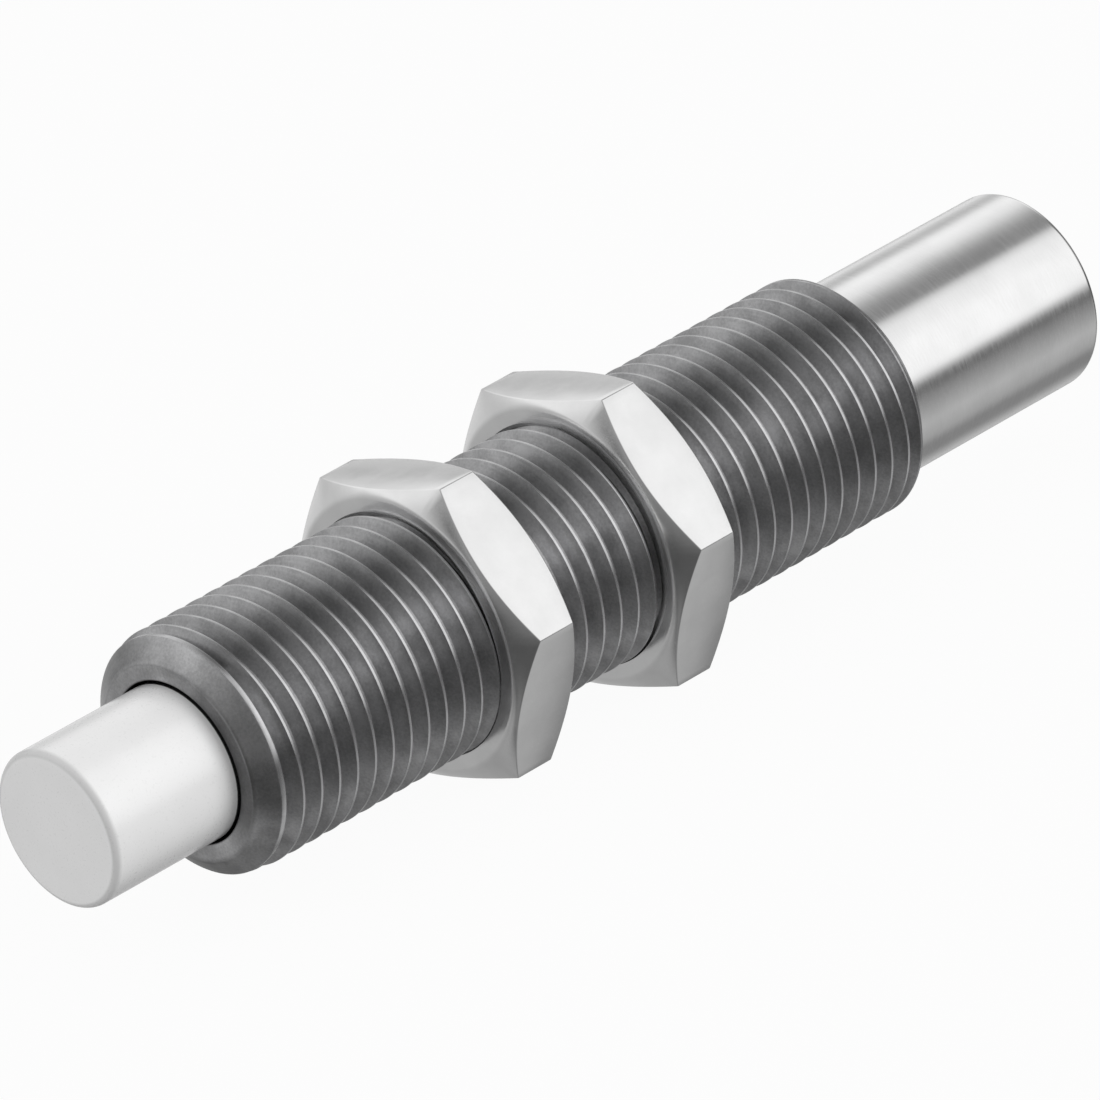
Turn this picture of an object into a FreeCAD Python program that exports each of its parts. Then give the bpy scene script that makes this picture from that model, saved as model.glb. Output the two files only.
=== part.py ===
import FreeCAD, Part
import os
import re

import Sketcher

# Industrial shock absorber with a threaded body and two lock nuts.
# +X runs along the axis from the front stop face (x = 0) to the rear, +Z is up.
# Every size is in millimetres unless its name says angle or count.

SIZES = {
    # Body
    "thread_diameter": 16.0,
    "thread_length": 57.3,
    "thread_pitch": 1.5,
    "thread_depth": 0.89,
    "thread_crest": 0.17,
    "pitches_per_groove_count": 2,
    "front_bevel_length": 1.24,
    "front_bevel_height": 1.6,
    "rear_bevel_size": 0.9,
    "tail_step": 1.37,
    "tail_length": 16.9,
    "tail_edge": 0.5,
    "bore_diameter": 10.6,
    "end_wall": 4.0,
    # Lock nuts
    "nut_wall": 1.5,
    "nut_thickness": 5.0,
    "nut_bevel_inset": 0.43,
    "nut_bevel_angle": 30.0,
    "nut_thread_clearance": 0.04,
    "front_nut_setback": 19.2,
    "nut_spacing": 8.9,
    # Buffer and rod
    "stroke": 10.0,
    "buffer_bore_gap": 0.17,
    "buffer_root": 3.0,
    "buffer_front_wall": 5.5,
    "buffer_edge": 0.45,
    "rod_diameter": 4.0,
    "rod_end_gap": 0.1,
    "rod_fit_gap": 0.01,
    "spigot_diameter": 2.0,
    # Fits shared by several pieces
    "running_clearance": 0.04,
    "seat_clearance": 0.03,
    # Circlip and cover washer in front of the gland
    "buffer_end_gap": 0.4,
    "circlip_thickness": 1.0,
    "circlip_groove_depth": 0.3,
    "circlip_width": 1.3,
    "circlip_opening": 3.2,
    "circlip_lug_radius": 1.0,
    "circlip_lug_hole": 0.9,
    "washer_thickness": 0.8,
    "washer_rod_gap": 0.3,
    # Rod guide with its wiper, lip seal and seal ring
    "guide_length": 11.0,
    "wiper_length": 2.0,
    "wiper_width": 1.6,
    "wiper_lip_length": 0.9,
    "seal_length": 3.6,
    "seal_width": 2.1,
    "seal_heel": 1.4,
    "lip_thickness": 0.5,
    "ring_section": 1.2,
    "ring_setback": 3.4,
    "ring_side_gap": 0.2,
    # Accumulator and pressure tube
    "neck_length": 7.5,
    "neck_wall": 0.7,
    "neck_oil_gap": 0.8,
    "neck_hole_diameter": 1.4,
    "foam_gap": 0.3,
    "collar_length": 1.5,
    "chamber_front_wall": 1.8,
    "return_annulus": 0.45,
    "tube_wall": 1.1,
    "orifice_diameter": 0.7,
    "orifice_count": 5,
    "orifice_setback": 1.2,
    # Piston with its check valve
    "piston_length": 5.0,
    "piston_stop_gap": 0.1,
    "piston_ring_width": 1.6,
    "piston_ring_depth": 0.9,
    "piston_ring_split": 0.4,
    "passage_diameter": 0.8,
    "passage_count": 4,
    "valve_thickness": 0.3,
    "valve_lift": 0.4,
    "valve_overlap": 0.2,
    "valve_end_gap": 0.05,
    "hub_wall": 0.4,
    "hub_gap": 0.1,
    "nut_flange_thickness": 1.0,
    "boss_length": 1.6,
    # Return spring and the plug that carries its rear end
    "wire_width": 0.5,
    "spring_turn_count": 7,
    "spring_tube_gap": 0.55,
    "spring_seat_gap": 0.05,
    "spring_guide_gap": 0.4,
    "plug_flange": 1.5,
    "plug_spigot_length": 2.5,
    "plug_boss_length": 1.8,
    # Oil filling screw in the rear wall
    "fill_thread_diameter": 4.0,
    "fill_thread_length": 2.0,
    "fill_head_diameter": 6.2,
    "fill_head_height": 1.3,
    "fill_head_gap": 0.15,
    "fill_seat_depth": 1.8,
    "fill_seal_thickness": 0.4,
    "fill_socket_flats": 2.5,
    "fill_socket_depth": 1.5,
}

# Radii worked out from the sizes
THREAD_R = "thread_diameter / 2"
STOP_FACE_R = f"({THREAD_R} - front_bevel_height)"
TAIL_R = f"({THREAD_R} - tail_step)"
BORE_R = "bore_diameter / 2"
BUFFER_R = f"({BORE_R} - buffer_bore_gap)"
ROD_R = "rod_diameter / 2"
SPIGOT_R = "spigot_diameter / 2"
GLAND_R = f"({BORE_R} - seat_clearance)"
GROOVE_R = f"({BORE_R} + circlip_groove_depth)"
CIRCLIP_R = f"({GROOVE_R} - seat_clearance)"
WASHER_HOLE_R = f"({ROD_R} + washer_rod_gap)"
LIP_R = f"({ROD_R} + running_clearance)"
WIPER_R = f"({LIP_R} + wiper_width)"
SEAL_R = f"({LIP_R} + seal_width)"
NECK_HOLE_R = f"({ROD_R} + neck_oil_gap)"
NECK_R = f"({NECK_HOLE_R} + neck_wall)"
SEAL_SEAT_R = f"({SEAL_R} + seat_clearance)"
TUBE_R = f"({BORE_R} - return_annulus)"
CHAMBER_R = f"({TUBE_R} - tube_wall)"
PISTON_R = f"({CHAMBER_R} - running_clearance)"
RING_FLOOR_R = f"({PISTON_R} - piston_ring_depth)"
SPIGOT_HOLE_R = f"({SPIGOT_R} + rod_fit_gap)"
HUB_R = f"({SPIGOT_HOLE_R} + hub_wall)"
PASSAGE_R = f"(({HUB_R} + {RING_FLOOR_R}) / 2)"
VALVE_HOLE_R = f"({HUB_R} + hub_gap)"
VALVE_R = f"({PASSAGE_R} + passage_diameter / 2 + valve_overlap)"
SPRING_OUTER_R = f"({CHAMBER_R} - spring_tube_gap)"
SPRING_INNER_R = f"({SPRING_OUTER_R} - wire_width)"
SPRING_GUIDE_R = f"({SPRING_INNER_R} - spring_guide_gap)"
NUT_BORE_R = f"({THREAD_R} + nut_thread_clearance)"
NUT_FLAT_R = f"({THREAD_R} + nut_wall)"
NUT_BEVEL_R = f"({NUT_FLAT_R} - nut_bevel_inset)"
NUT_CORNER_R = f"({NUT_FLAT_R} / cos(30))"

# Lengths of single pieces
BUFFER_LENGTH = "(stroke + buffer_root)"
WIPER_SEAT = "(wiper_length + seat_clearance)"
SEAL_SEAT = "(seal_length + seat_clearance + collar_length)"
HUB_LENGTH = "(valve_thickness + valve_lift + valve_end_gap)"
PISTON_NUT_LENGTH = f"({HUB_LENGTH} + nut_flange_thickness + boss_length)"

# Stations along the axis, from the stop face to the rear
BODY_LENGTH = "(thread_length + tail_length)"
BORE_END_X = f"({BODY_LENGTH} - end_wall)"
REAR_BEVEL_X = "(thread_length - rear_bevel_size)"
GROOVE_X = "(front_bevel_length + thread_crest)"
GROOVE_SPACING = "(thread_pitch * pitches_per_groove_count)"
GROOVE_COUNT = f"floor(({REAR_BEVEL_X} - {GROOVE_X}) / {GROOVE_SPACING})"
REAR_NUT_X = "(front_nut_setback + nut_thickness + nut_spacing)"
CIRCLIP_X = "(buffer_root + stroke + buffer_end_gap)"
COVER_X = f"({CIRCLIP_X} + circlip_thickness)"
GUIDE_X = f"({COVER_X} + washer_thickness)"
GUIDE_END_X = f"({GUIDE_X} + guide_length)"
TUBE_X = f"({GUIDE_END_X} - collar_length)"
CHAMBER_X = f"({GUIDE_END_X} + neck_length + chamber_front_wall)"
PISTON_X = f"({CHAMBER_X} + piston_stop_gap)"
VALVE_X = f"({PISTON_X} + piston_length)"
SPRING_X = f"({VALVE_X} + {HUB_LENGTH} + nut_flange_thickness)"
PLUG_X = f"({BORE_END_X} - plug_flange)"
SPRING_END_X = f"({PLUG_X} - plug_spigot_length)"
ROD_X = "(-stroke + buffer_front_wall + rod_end_gap)"
TUBE_LENGTH = f"({PLUG_X} - {TUBE_X})"

TINY = 1e-6


def bound(formula):
    """Point each size that a formula names at its cell in the sheet."""
    names = "|".join(sorted(SIZES, key=len, reverse=True))
    return re.sub(rf"\b({names})\b", r"Dimensions.\1", formula)


def value(formula):
    """Work a formula out from the sheet's present sizes."""
    return float(SHEET.evalExpression(bound(formula)))


def make_sheet():
    """Put the sizes in a spreadsheet, one row each, with the name as alias."""
    sheet = DOC.addObject("Spreadsheet::Sheet", "Dimensions")
    for row, (name, size) in enumerate(SIZES.items(), start=1):
        sheet.set(f"A{row}", name)
        sheet.set(f"B{row}", str(size))
        sheet.setAlias(f"B{row}", name)
    DOC.recompute()
    return sheet


def make_body(name, station="0"):
    """Start a body whose own x = 0 lies at a station along the axis."""
    body = DOC.addObject("PartDesign::Body", name)
    body.Label = name
    body.setExpression("Placement.Base.x", bound(station))
    PIECES.append(body)
    return body


def new_sketch(body, role):
    """Attach an empty sketch to one of the body's own origin planes."""
    plane = next(item for item in body.Origin.OriginFeatures if item.Role == role)
    sketch = body.newObject("Sketcher::SketchObject", f"{body.Name}_sketch")
    sketch.AttachmentSupport = [(plane, "")]
    sketch.MapMode = "FlatFace"
    return sketch


def bind_point(sketch, line, end, place):
    """Tie a point of the sketch to a pair of formulas."""
    for axis, formula in zip("XY", place):
        kind = f"Distance{axis}"
        index = sketch.addConstraint(Sketcher.Constraint(kind, line, end, value(formula)))
        sketch.setExpression(f"Constraints[{index}]", bound(formula))


def add_outline(sketch, points):
    """Add a closed outline of straight lines through points given as formulas."""
    first = sketch.GeometryCount
    corners = [FreeCAD.Vector(value(x), value(y), 0) for x, y in points]
    count = len(corners)
    for number in range(count):
        line = Part.LineSegment(corners[number], corners[(number + 1) % count])
        sketch.addGeometry(line, False)
    for number in range(count):
        following = first + (number + 1) % count
        sketch.addConstraint(Sketcher.Constraint("Coincident", first + number, 2, following, 1))
    for number, place in enumerate(points):
        bind_point(sketch, first + number, 1, place)


def add_circle(sketch, centre, radius):
    """Add a circle whose centre and radius are formulas."""
    middle = FreeCAD.Vector(value(centre[0]), value(centre[1]), 0)
    circle = Part.Circle(middle, FreeCAD.Vector(0, 0, 1), value(radius))
    number = sketch.addGeometry(circle, False)
    bind_point(sketch, number, 3, centre)
    index = sketch.addConstraint(Sketcher.Constraint("Radius", number, value(radius)))
    sketch.setExpression(f"Constraints[{index}]", bound(radius))


def hexagon(corner):
    """Points of a hexagon with flats above and below, from the radius of its corners."""
    return [(f"{corner} * cos({60 * k})", f"{corner} * sin({60 * k})") for k in range(6)]


def add_feature(body, kind, sketch):
    """Add a feature made from a sketch."""
    feature = body.newObject(f"PartDesign::{kind}", f"{body.Name}_{kind.lower()}")
    feature.Profile = sketch
    return feature


def turn(body, *outlines, cut=False):
    """Turn outlines of (x, radius) points about the body's axis."""
    sketch = new_sketch(body, "XZ_Plane")
    for outline in outlines:
        add_outline(sketch, outline)
    feature = add_feature(body, "Groove" if cut else "Revolution", sketch)
    feature.ReferenceAxis = (sketch, ["H_Axis"])
    feature.Angle = 360
    DOC.recompute()
    return feature


def tube_outline(length, inner, outer):
    """Outline of a plain ring or tube that starts at the body's own x = 0."""
    return [("0", inner), (length, inner), (length, outer), ("0", outer)]


def pad(body, sketch, length):
    """Raise a sketch along the body's +X."""
    feature = add_feature(body, "Pad", sketch)
    feature.setExpression("Length", bound(length))
    DOC.recompute()
    return feature


def pocket(body, sketch, length=None, both_sides=False, towards_plus=True):
    """Cut a sketch to a length, or through the whole piece when none is given."""
    before = body.Shape.Volume
    feature = add_feature(body, "Pocket", sketch)
    feature.Type = "ThroughAll" if length is None else "Length"
    if length is not None:
        feature.setExpression("Length", bound(length))
    feature.Midplane = both_sides
    feature.Reversed = towards_plus
    DOC.recompute()
    if body.Shape.Volume >= before:
        raise RuntimeError(f"a pocket of {body.Label} cuts nothing")
    return feature


def repeat_around(body, feature, count):
    """Repeat a feature evenly around the body's X axis."""
    axis = next(item for item in body.Origin.OriginFeatures if item.Role == "X_Axis")
    pattern = body.newObject("PartDesign::PolarPattern", f"{body.Name}_pattern")
    pattern.Originals = [feature]
    pattern.Axis = (axis, [""])
    pattern.Angle = 360
    pattern.setExpression("Occurrences", bound(count))
    body.Tip = pattern
    DOC.recompute()


def repeat_along(body, feature, spacing, count):
    """Repeat a feature at even steps along the body's X axis."""
    axis = next(item for item in body.Origin.OriginFeatures if item.Role == "X_Axis")
    pattern = body.newObject("PartDesign::LinearPattern", f"{body.Name}_row")
    pattern.Originals = [feature]
    pattern.Direction = (axis, [""])
    pattern.Mode = "Spacing"
    pattern.setExpression("Offset", bound(spacing))
    pattern.setExpression("Occurrences", bound(count))
    body.Tip = pattern
    DOC.recompute()


def bevel_edge(body, x, radius, size):
    """Chamfer the circular edge of a given radius that lies at x in the body."""
    base = body.Tip
    names = [
        f"Edge{number}"
        for number, edge in enumerate(base.Shape.Edges, start=1)
        if isinstance(edge.Curve, Part.Circle)
        and abs(edge.Curve.Center.x - x) < TINY
        and abs(edge.Curve.Radius - radius) < TINY
    ]
    chamfer = body.newObject("PartDesign::Chamfer", f"{body.Name}_chamfer")
    chamfer.Base = (base, names)
    chamfer.setExpression("Size", bound(size))
    DOC.recompute()


def threaded_housing():
    """Body: bevelled thread, smooth tail, front bore and the port in the rear wall.

    The thread is simplified to closed V grooves, one to every second pitch.
    """
    body = make_body("threaded_housing")
    turn(body, [
        ("0", "0"),
        ("0", STOP_FACE_R),
        ("front_bevel_length", THREAD_R),
        (REAR_BEVEL_X, THREAD_R),
        ("thread_length", f"{THREAD_R} - rear_bevel_size"),
        ("thread_length", TAIL_R),
        (f"{BODY_LENGTH} - tail_edge", TAIL_R),
        (BODY_LENGTH, f"{TAIL_R} - tail_edge"),
        (BODY_LENGTH, "0"),
    ])
    turn(body, [
        ("0", "0"),
        ("0", BORE_R),
        (CIRCLIP_X, BORE_R),
        (CIRCLIP_X, GROOVE_R),
        (COVER_X, GROOVE_R),
        (COVER_X, BORE_R),
        (BORE_END_X, BORE_R),
        (BORE_END_X, "0"),
    ], cut=True)
    port = "(fill_thread_diameter / 2 + seat_clearance)"
    seat = "(fill_head_diameter / 2 + fill_head_gap)"
    seat_x = f"({BODY_LENGTH} - fill_seat_depth)"
    turn(body, [
        (BORE_END_X, "0"),
        (BORE_END_X, port),
        (seat_x, port),
        (seat_x, seat),
        (BODY_LENGTH, seat),
        (BODY_LENGTH, "0"),
    ], cut=True)
    mouth = "(thread_pitch - thread_crest)"
    groove = turn(body, [
        (GROOVE_X, THREAD_R),
        (f"{GROOVE_X} + {mouth} / 2", f"{THREAD_R} - thread_depth"),
        (f"{GROOVE_X} + {mouth}", THREAD_R),
    ], cut=True)
    repeat_along(body, groove, GROOVE_SPACING, GROOVE_COUNT)


def lock_nut(name, station):
    """Thin hexagon nut, bevelled on both faces."""
    body = make_body(name, station)
    sketch = new_sketch(body, "YZ_Plane")
    add_outline(sketch, hexagon(NUT_CORNER_R))
    pad(body, sketch, "nut_thickness")
    bevel = f"(({NUT_CORNER_R} - {NUT_BEVEL_R}) * tan(nut_bevel_angle))"
    turn(
        body,
        [("0", NUT_BEVEL_R), (bevel, NUT_CORNER_R), ("0", NUT_CORNER_R)],
        [
            ("nut_thickness", NUT_BEVEL_R),
            ("nut_thickness", NUT_CORNER_R),
            (f"nut_thickness - {bevel}", NUT_CORNER_R),
        ],
        cut=True,
    )
    bore = new_sketch(body, "YZ_Plane")
    add_circle(bore, ("0", "0"), NUT_BORE_R)
    pocket(body, bore)


def buffer_cap():
    """Plastic buffer with a bevelled front edge and a blind hole for the rod."""
    body = make_body("buffer_cap", "-stroke")
    turn(body, [
        ("0", "0"),
        ("0", BUFFER_R),
        (BUFFER_LENGTH, BUFFER_R),
        (BUFFER_LENGTH, "0"),
    ])
    hole = f"({ROD_R} + rod_fit_gap)"
    turn(body, [
        ("buffer_front_wall", "0"),
        ("buffer_front_wall", hole),
        (BUFFER_LENGTH, hole),
        (BUFFER_LENGTH, "0"),
    ], cut=True)
    bevel_edge(body, 0, value(BUFFER_R), "buffer_edge")


def piston_rod():
    """Hardened rod, turned down at the rear to carry the piston and its nut."""
    body = make_body("piston_rod", ROD_X)
    shoulder = f"({PISTON_X} - {ROD_X})"
    end = f"({VALVE_X} + {PISTON_NUT_LENGTH} - {ROD_X})"
    turn(body, [
        ("0", "0"),
        ("0", ROD_R),
        (shoulder, ROD_R),
        (shoulder, SPIGOT_R),
        (end, SPIGOT_R),
        (end, "0"),
    ])


def retaining_ring():
    """Circlip: a split ring in the bore's groove, with two eyed lugs."""
    body = make_body("retaining_ring", CIRCLIP_X)
    inner = f"({CIRCLIP_R} - circlip_width)"
    sketch = new_sketch(body, "YZ_Plane")
    add_circle(sketch, ("0", "0"), CIRCLIP_R)
    add_circle(sketch, ("0", "0"), inner)
    pad(body, sketch, "circlip_thickness")
    side = "(circlip_opening / 2 + circlip_lug_radius)"
    height = f"sqrt(({CIRCLIP_R} - circlip_lug_radius)^2 - {side}^2)"
    for sign in ("", "-"):
        lug = new_sketch(body, "YZ_Plane")
        add_circle(lug, (f"{sign}{side}", height), "circlip_lug_radius")
        pad(body, lug, "circlip_thickness")
    opening = new_sketch(body, "YZ_Plane")
    half = "circlip_opening / 2"
    add_outline(opening, [
        (f"-{half}", "0"),
        (half, "0"),
        (half, GROOVE_R),
        (f"-{half}", GROOVE_R),
    ])
    pocket(body, opening)
    eyes = new_sketch(body, "YZ_Plane")
    for sign in ("", "-"):
        add_circle(eyes, (f"{sign}{side}", height), "circlip_lug_hole / 2")
    pocket(body, eyes)


def cover_washer():
    """Disc in the bore with a free hole for the rod."""
    body = make_body("cover_washer", COVER_X)
    turn(body, tube_outline("washer_thickness", WASHER_HOLE_R, GLAND_R))


def rod_guide():
    """Bush with a seat for the wiper in front, one for the lip seal behind and a ring groove."""
    body = make_body("rod_guide", GUIDE_X)
    wiper_seat_r = f"({WIPER_R} + seat_clearance)"
    turn(body, [
        ("0", wiper_seat_r),
        (WIPER_SEAT, wiper_seat_r),
        (WIPER_SEAT, LIP_R),
        (f"guide_length - {SEAL_SEAT}", LIP_R),
        (f"guide_length - {SEAL_SEAT}", SEAL_SEAT_R),
        ("guide_length", SEAL_SEAT_R),
        ("guide_length", GLAND_R),
        ("0", GLAND_R),
    ])
    floor_r = f"({GLAND_R} - ring_section - seat_clearance)"
    front = "(ring_setback - ring_side_gap)"
    rear = "(ring_setback + ring_section + ring_side_gap)"
    turn(body, [(front, floor_r), (rear, floor_r), (rear, BORE_R), (front, BORE_R)], cut=True)


def rod_wiper():
    """Wiper ring whose lip points out of the bore."""
    body = make_body("rod_wiper", GUIDE_X)
    turn(body, [
        ("0", LIP_R),
        ("0", f"{LIP_R} + lip_thickness"),
        ("wiper_lip_length", f"{LIP_R} + lip_thickness"),
        ("wiper_lip_length", WIPER_R),
        ("wiper_length", WIPER_R),
        ("wiper_length", LIP_R),
    ])


def rod_seal():
    """Lip seal: a heel in front and two lips that open towards the oil."""
    body = make_body("rod_seal", f"{GUIDE_END_X} - {SEAL_SEAT}")
    turn(body, [
        ("0", LIP_R),
        ("seal_length", LIP_R),
        ("seal_length", f"{LIP_R} + lip_thickness"),
        ("seal_heel", f"{LIP_R} + lip_thickness"),
        ("seal_heel", f"{SEAL_R} - lip_thickness"),
        ("seal_length", f"{SEAL_R} - lip_thickness"),
        ("seal_length", SEAL_R),
        ("0", SEAL_R),
    ])


def guide_seal_ring():
    """Square-cut ring between the guide and the bore."""
    body = make_body("guide_seal_ring", f"{GUIDE_X} + ring_setback")
    turn(body, tube_outline("ring_section", f"{GLAND_R} - ring_section", GLAND_R))


def accumulator_foam():
    """Closed-cell sleeve round the neck of the pressure tube."""
    body = make_body("accumulator_foam", f"{GUIDE_END_X} + foam_gap")
    length = "(neck_length - 2 * foam_gap)"
    turn(body, tube_outline(length, f"{NECK_R} + foam_gap", f"{BORE_R} - foam_gap"))


def pressure_tube():
    """Collar, drilled neck and chamber with metering orifices that draw closer along the stroke."""
    body = make_body("pressure_tube", TUBE_X)
    neck_end = "(collar_length + neck_length)"
    chamber_start = f"({neck_end} + chamber_front_wall)"
    turn(body, [
        ("0", NECK_HOLE_R),
        (chamber_start, NECK_HOLE_R),
        (chamber_start, CHAMBER_R),
        (TUBE_LENGTH, CHAMBER_R),
        (TUBE_LENGTH, TUBE_R),
        (neck_end, TUBE_R),
        (neck_end, NECK_R),
        ("collar_length", NECK_R),
        ("collar_length", SEAL_R),
        ("0", SEAL_R),
    ])
    neck_holes = new_sketch(body, "XZ_Plane")
    add_circle(neck_holes, ("collar_length + neck_length / 2", "0"), "neck_hole_diameter / 2")
    pocket(body, neck_holes, both_sides=True)
    orifices = new_sketch(body, "XY_Plane")
    start = f"({VALVE_X} + orifice_setback - {TUBE_X})"
    for number in range(int(SIZES["orifice_count"])):
        share = f"(1 - ({number} / orifice_count - 1)^2)"
        add_circle(orifices, (f"{start} + stroke * {share}", "0"), "orifice_diameter / 2")
    pocket(body, orifices, TUBE_R)


def piston():
    """Piston with a ring groove and axial passages for the return flow."""
    body = make_body("piston", PISTON_X)
    turn(body, [
        ("0", SPIGOT_HOLE_R),
        ("piston_length", SPIGOT_HOLE_R),
        ("piston_length", PISTON_R),
        ("0", PISTON_R),
    ])
    front = "((piston_length - piston_ring_width) / 2)"
    turn(body, [
        (front, RING_FLOOR_R),
        (f"{front} + piston_ring_width", RING_FLOOR_R),
        (f"{front} + piston_ring_width", CHAMBER_R),
        (front, CHAMBER_R),
    ], cut=True)
    passage = new_sketch(body, "YZ_Plane")
    add_circle(passage, ("0", PASSAGE_R), "passage_diameter / 2")
    repeat_around(body, pocket(body, passage), "passage_count")


def piston_ring():
    """Split ring in the piston's groove."""
    front = "(piston_length - piston_ring_width) / 2"
    body = make_body("piston_ring", f"{PISTON_X} + {front} + seat_clearance")
    length = "(piston_ring_width - 2 * seat_clearance)"
    inner = f"({RING_FLOOR_R} + seat_clearance)"
    turn(body, tube_outline(length, inner, f"{CHAMBER_R} - running_clearance / 2"))
    split = new_sketch(body, "YZ_Plane")
    half = "piston_ring_split / 2"
    add_outline(split, [
        (f"-{half}", "0"),
        (half, "0"),
        (half, CHAMBER_R),
        (f"-{half}", CHAMBER_R),
    ])
    pocket(body, split)


def check_valve_disc():
    """Thin disc that shuts the passages while the plunger is pushed in."""
    body = make_body("check_valve_disc", VALVE_X)
    turn(body, tube_outline("valve_thickness", VALVE_HOLE_R, VALVE_R))


def piston_nut():
    """Nut whose hub guides the disc and whose flange seats the spring."""
    body = make_body("piston_nut", VALVE_X)
    flange_end = f"({HUB_LENGTH} + nut_flange_thickness)"
    turn(body, [
        ("0", "0"),
        ("0", HUB_R),
        (HUB_LENGTH, HUB_R),
        (HUB_LENGTH, SPRING_OUTER_R),
        (flange_end, SPRING_OUTER_R),
        (flange_end, "0"),
    ])
    boss = new_sketch(body, "YZ_Plane")
    boss.setExpression("AttachmentOffset.Base.z", bound(flange_end))
    add_outline(boss, hexagon(SPRING_GUIDE_R))
    pad(body, boss, "boss_length")
    bore = new_sketch(body, "YZ_Plane")
    add_circle(bore, ("0", "0"), SPIGOT_HOLE_R)
    pocket(body, bore)


def return_spring():
    """Coil spring of square wire between the piston's nut and the plug."""
    body = make_body("return_spring", f"{SPRING_X} + spring_seat_gap")
    section = new_sketch(body, "XZ_Plane")
    add_outline(section, tube_outline("wire_width", SPRING_INNER_R, SPRING_OUTER_R))
    coil = add_feature(body, "AdditiveHelix", section)
    coil.ReferenceAxis = (section, ["H_Axis"])
    coil.Mode = "height-turns-angle"
    coil.setExpression("Height", bound(f"{SPRING_END_X} - {SPRING_X} - 2 * spring_seat_gap - wire_width"))
    coil.setExpression("Turns", bound("spring_turn_count"))
    DOC.recompute()


def tube_end_plug():
    """Plug that closes the pressure tube, centres it in the bore and carries the spring."""
    body = make_body("tube_end_plug", f"{SPRING_END_X} - plug_boss_length")
    spigot_x = "plug_boss_length"
    flange_x = "(plug_boss_length + plug_spigot_length)"
    end = f"({flange_x} + plug_flange)"
    turn(body, [
        ("0", "0"),
        ("0", SPRING_GUIDE_R),
        (spigot_x, SPRING_GUIDE_R),
        (spigot_x, f"{CHAMBER_R} - seat_clearance"),
        (flange_x, f"{CHAMBER_R} - seat_clearance"),
        (flange_x, GLAND_R),
        (end, GLAND_R),
        (end, "0"),
    ])


def fill_plug():
    """Low-headed screw with a hexagon socket, sunk in the rear wall."""
    body = make_body("fill_plug", f"{BODY_LENGTH} - fill_seat_depth - fill_thread_length")
    head_x = "(fill_thread_length + fill_seal_thickness)"
    end = f"({head_x} + fill_head_height)"
    shank = "fill_thread_diameter / 2"
    turn(body, [
        ("0", "0"),
        ("0", shank),
        (head_x, shank),
        (head_x, "fill_head_diameter / 2"),
        (end, "fill_head_diameter / 2"),
        (end, "0"),
    ])
    socket = new_sketch(body, "YZ_Plane")
    socket.setExpression("AttachmentOffset.Base.z", bound(end))
    add_outline(socket, hexagon("(fill_socket_flats / 2 / cos(30))"))
    pocket(body, socket, "fill_socket_depth", towards_plus=False)


def fill_plug_seal():
    """Flat sealing ring under the screw's head."""
    body = make_body("fill_plug_seal", f"{BODY_LENGTH} - fill_seat_depth")
    inner = "fill_thread_diameter / 2 + seat_clearance"
    turn(body, tube_outline("fill_seal_thickness", inner, "fill_head_diameter / 2"))


def check_document():
    """Stop if any object failed or any piece has no sound solid."""
    DOC.recompute()
    for item in DOC.Objects:
        if "Invalid" in item.State or "Error" in item.State:
            raise RuntimeError(f"{item.Label} failed: {item.State}")
    for piece in PIECES:
        if piece.Shape.isNull() or not piece.Shape.isValid() or not piece.Shape.Solids:
            raise RuntimeError(f"{piece.Label} has no sound solid")


def write_pieces():
    """Write each piece to its own file."""
    os.makedirs("parts", exist_ok=True)
    for piece in PIECES:
        piece.Shape.exportStep(f"parts/{piece.Label}.step")


DOC = FreeCAD.newDocument("ShockAbsorber")
SHEET = make_sheet()
PIECES = []

threaded_housing()
lock_nut("front_lock_nut", "front_nut_setback")
lock_nut("rear_lock_nut", REAR_NUT_X)
buffer_cap()
piston_rod()
retaining_ring()
cover_washer()
rod_guide()
rod_wiper()
guide_seal_ring()
rod_seal()
accumulator_foam()
pressure_tube()
piston()
piston_ring()
check_valve_disc()
piston_nut()
return_spring()
tube_end_plug()
fill_plug()
fill_plug_seal()
check_document()
write_pieces()
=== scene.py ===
import math

import bmesh
import bpy
from bpy.props import (
    FloatProperty,
    FloatVectorProperty,
    IntProperty,
    PointerProperty,
)
from mathutils import Matrix, Vector


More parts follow.
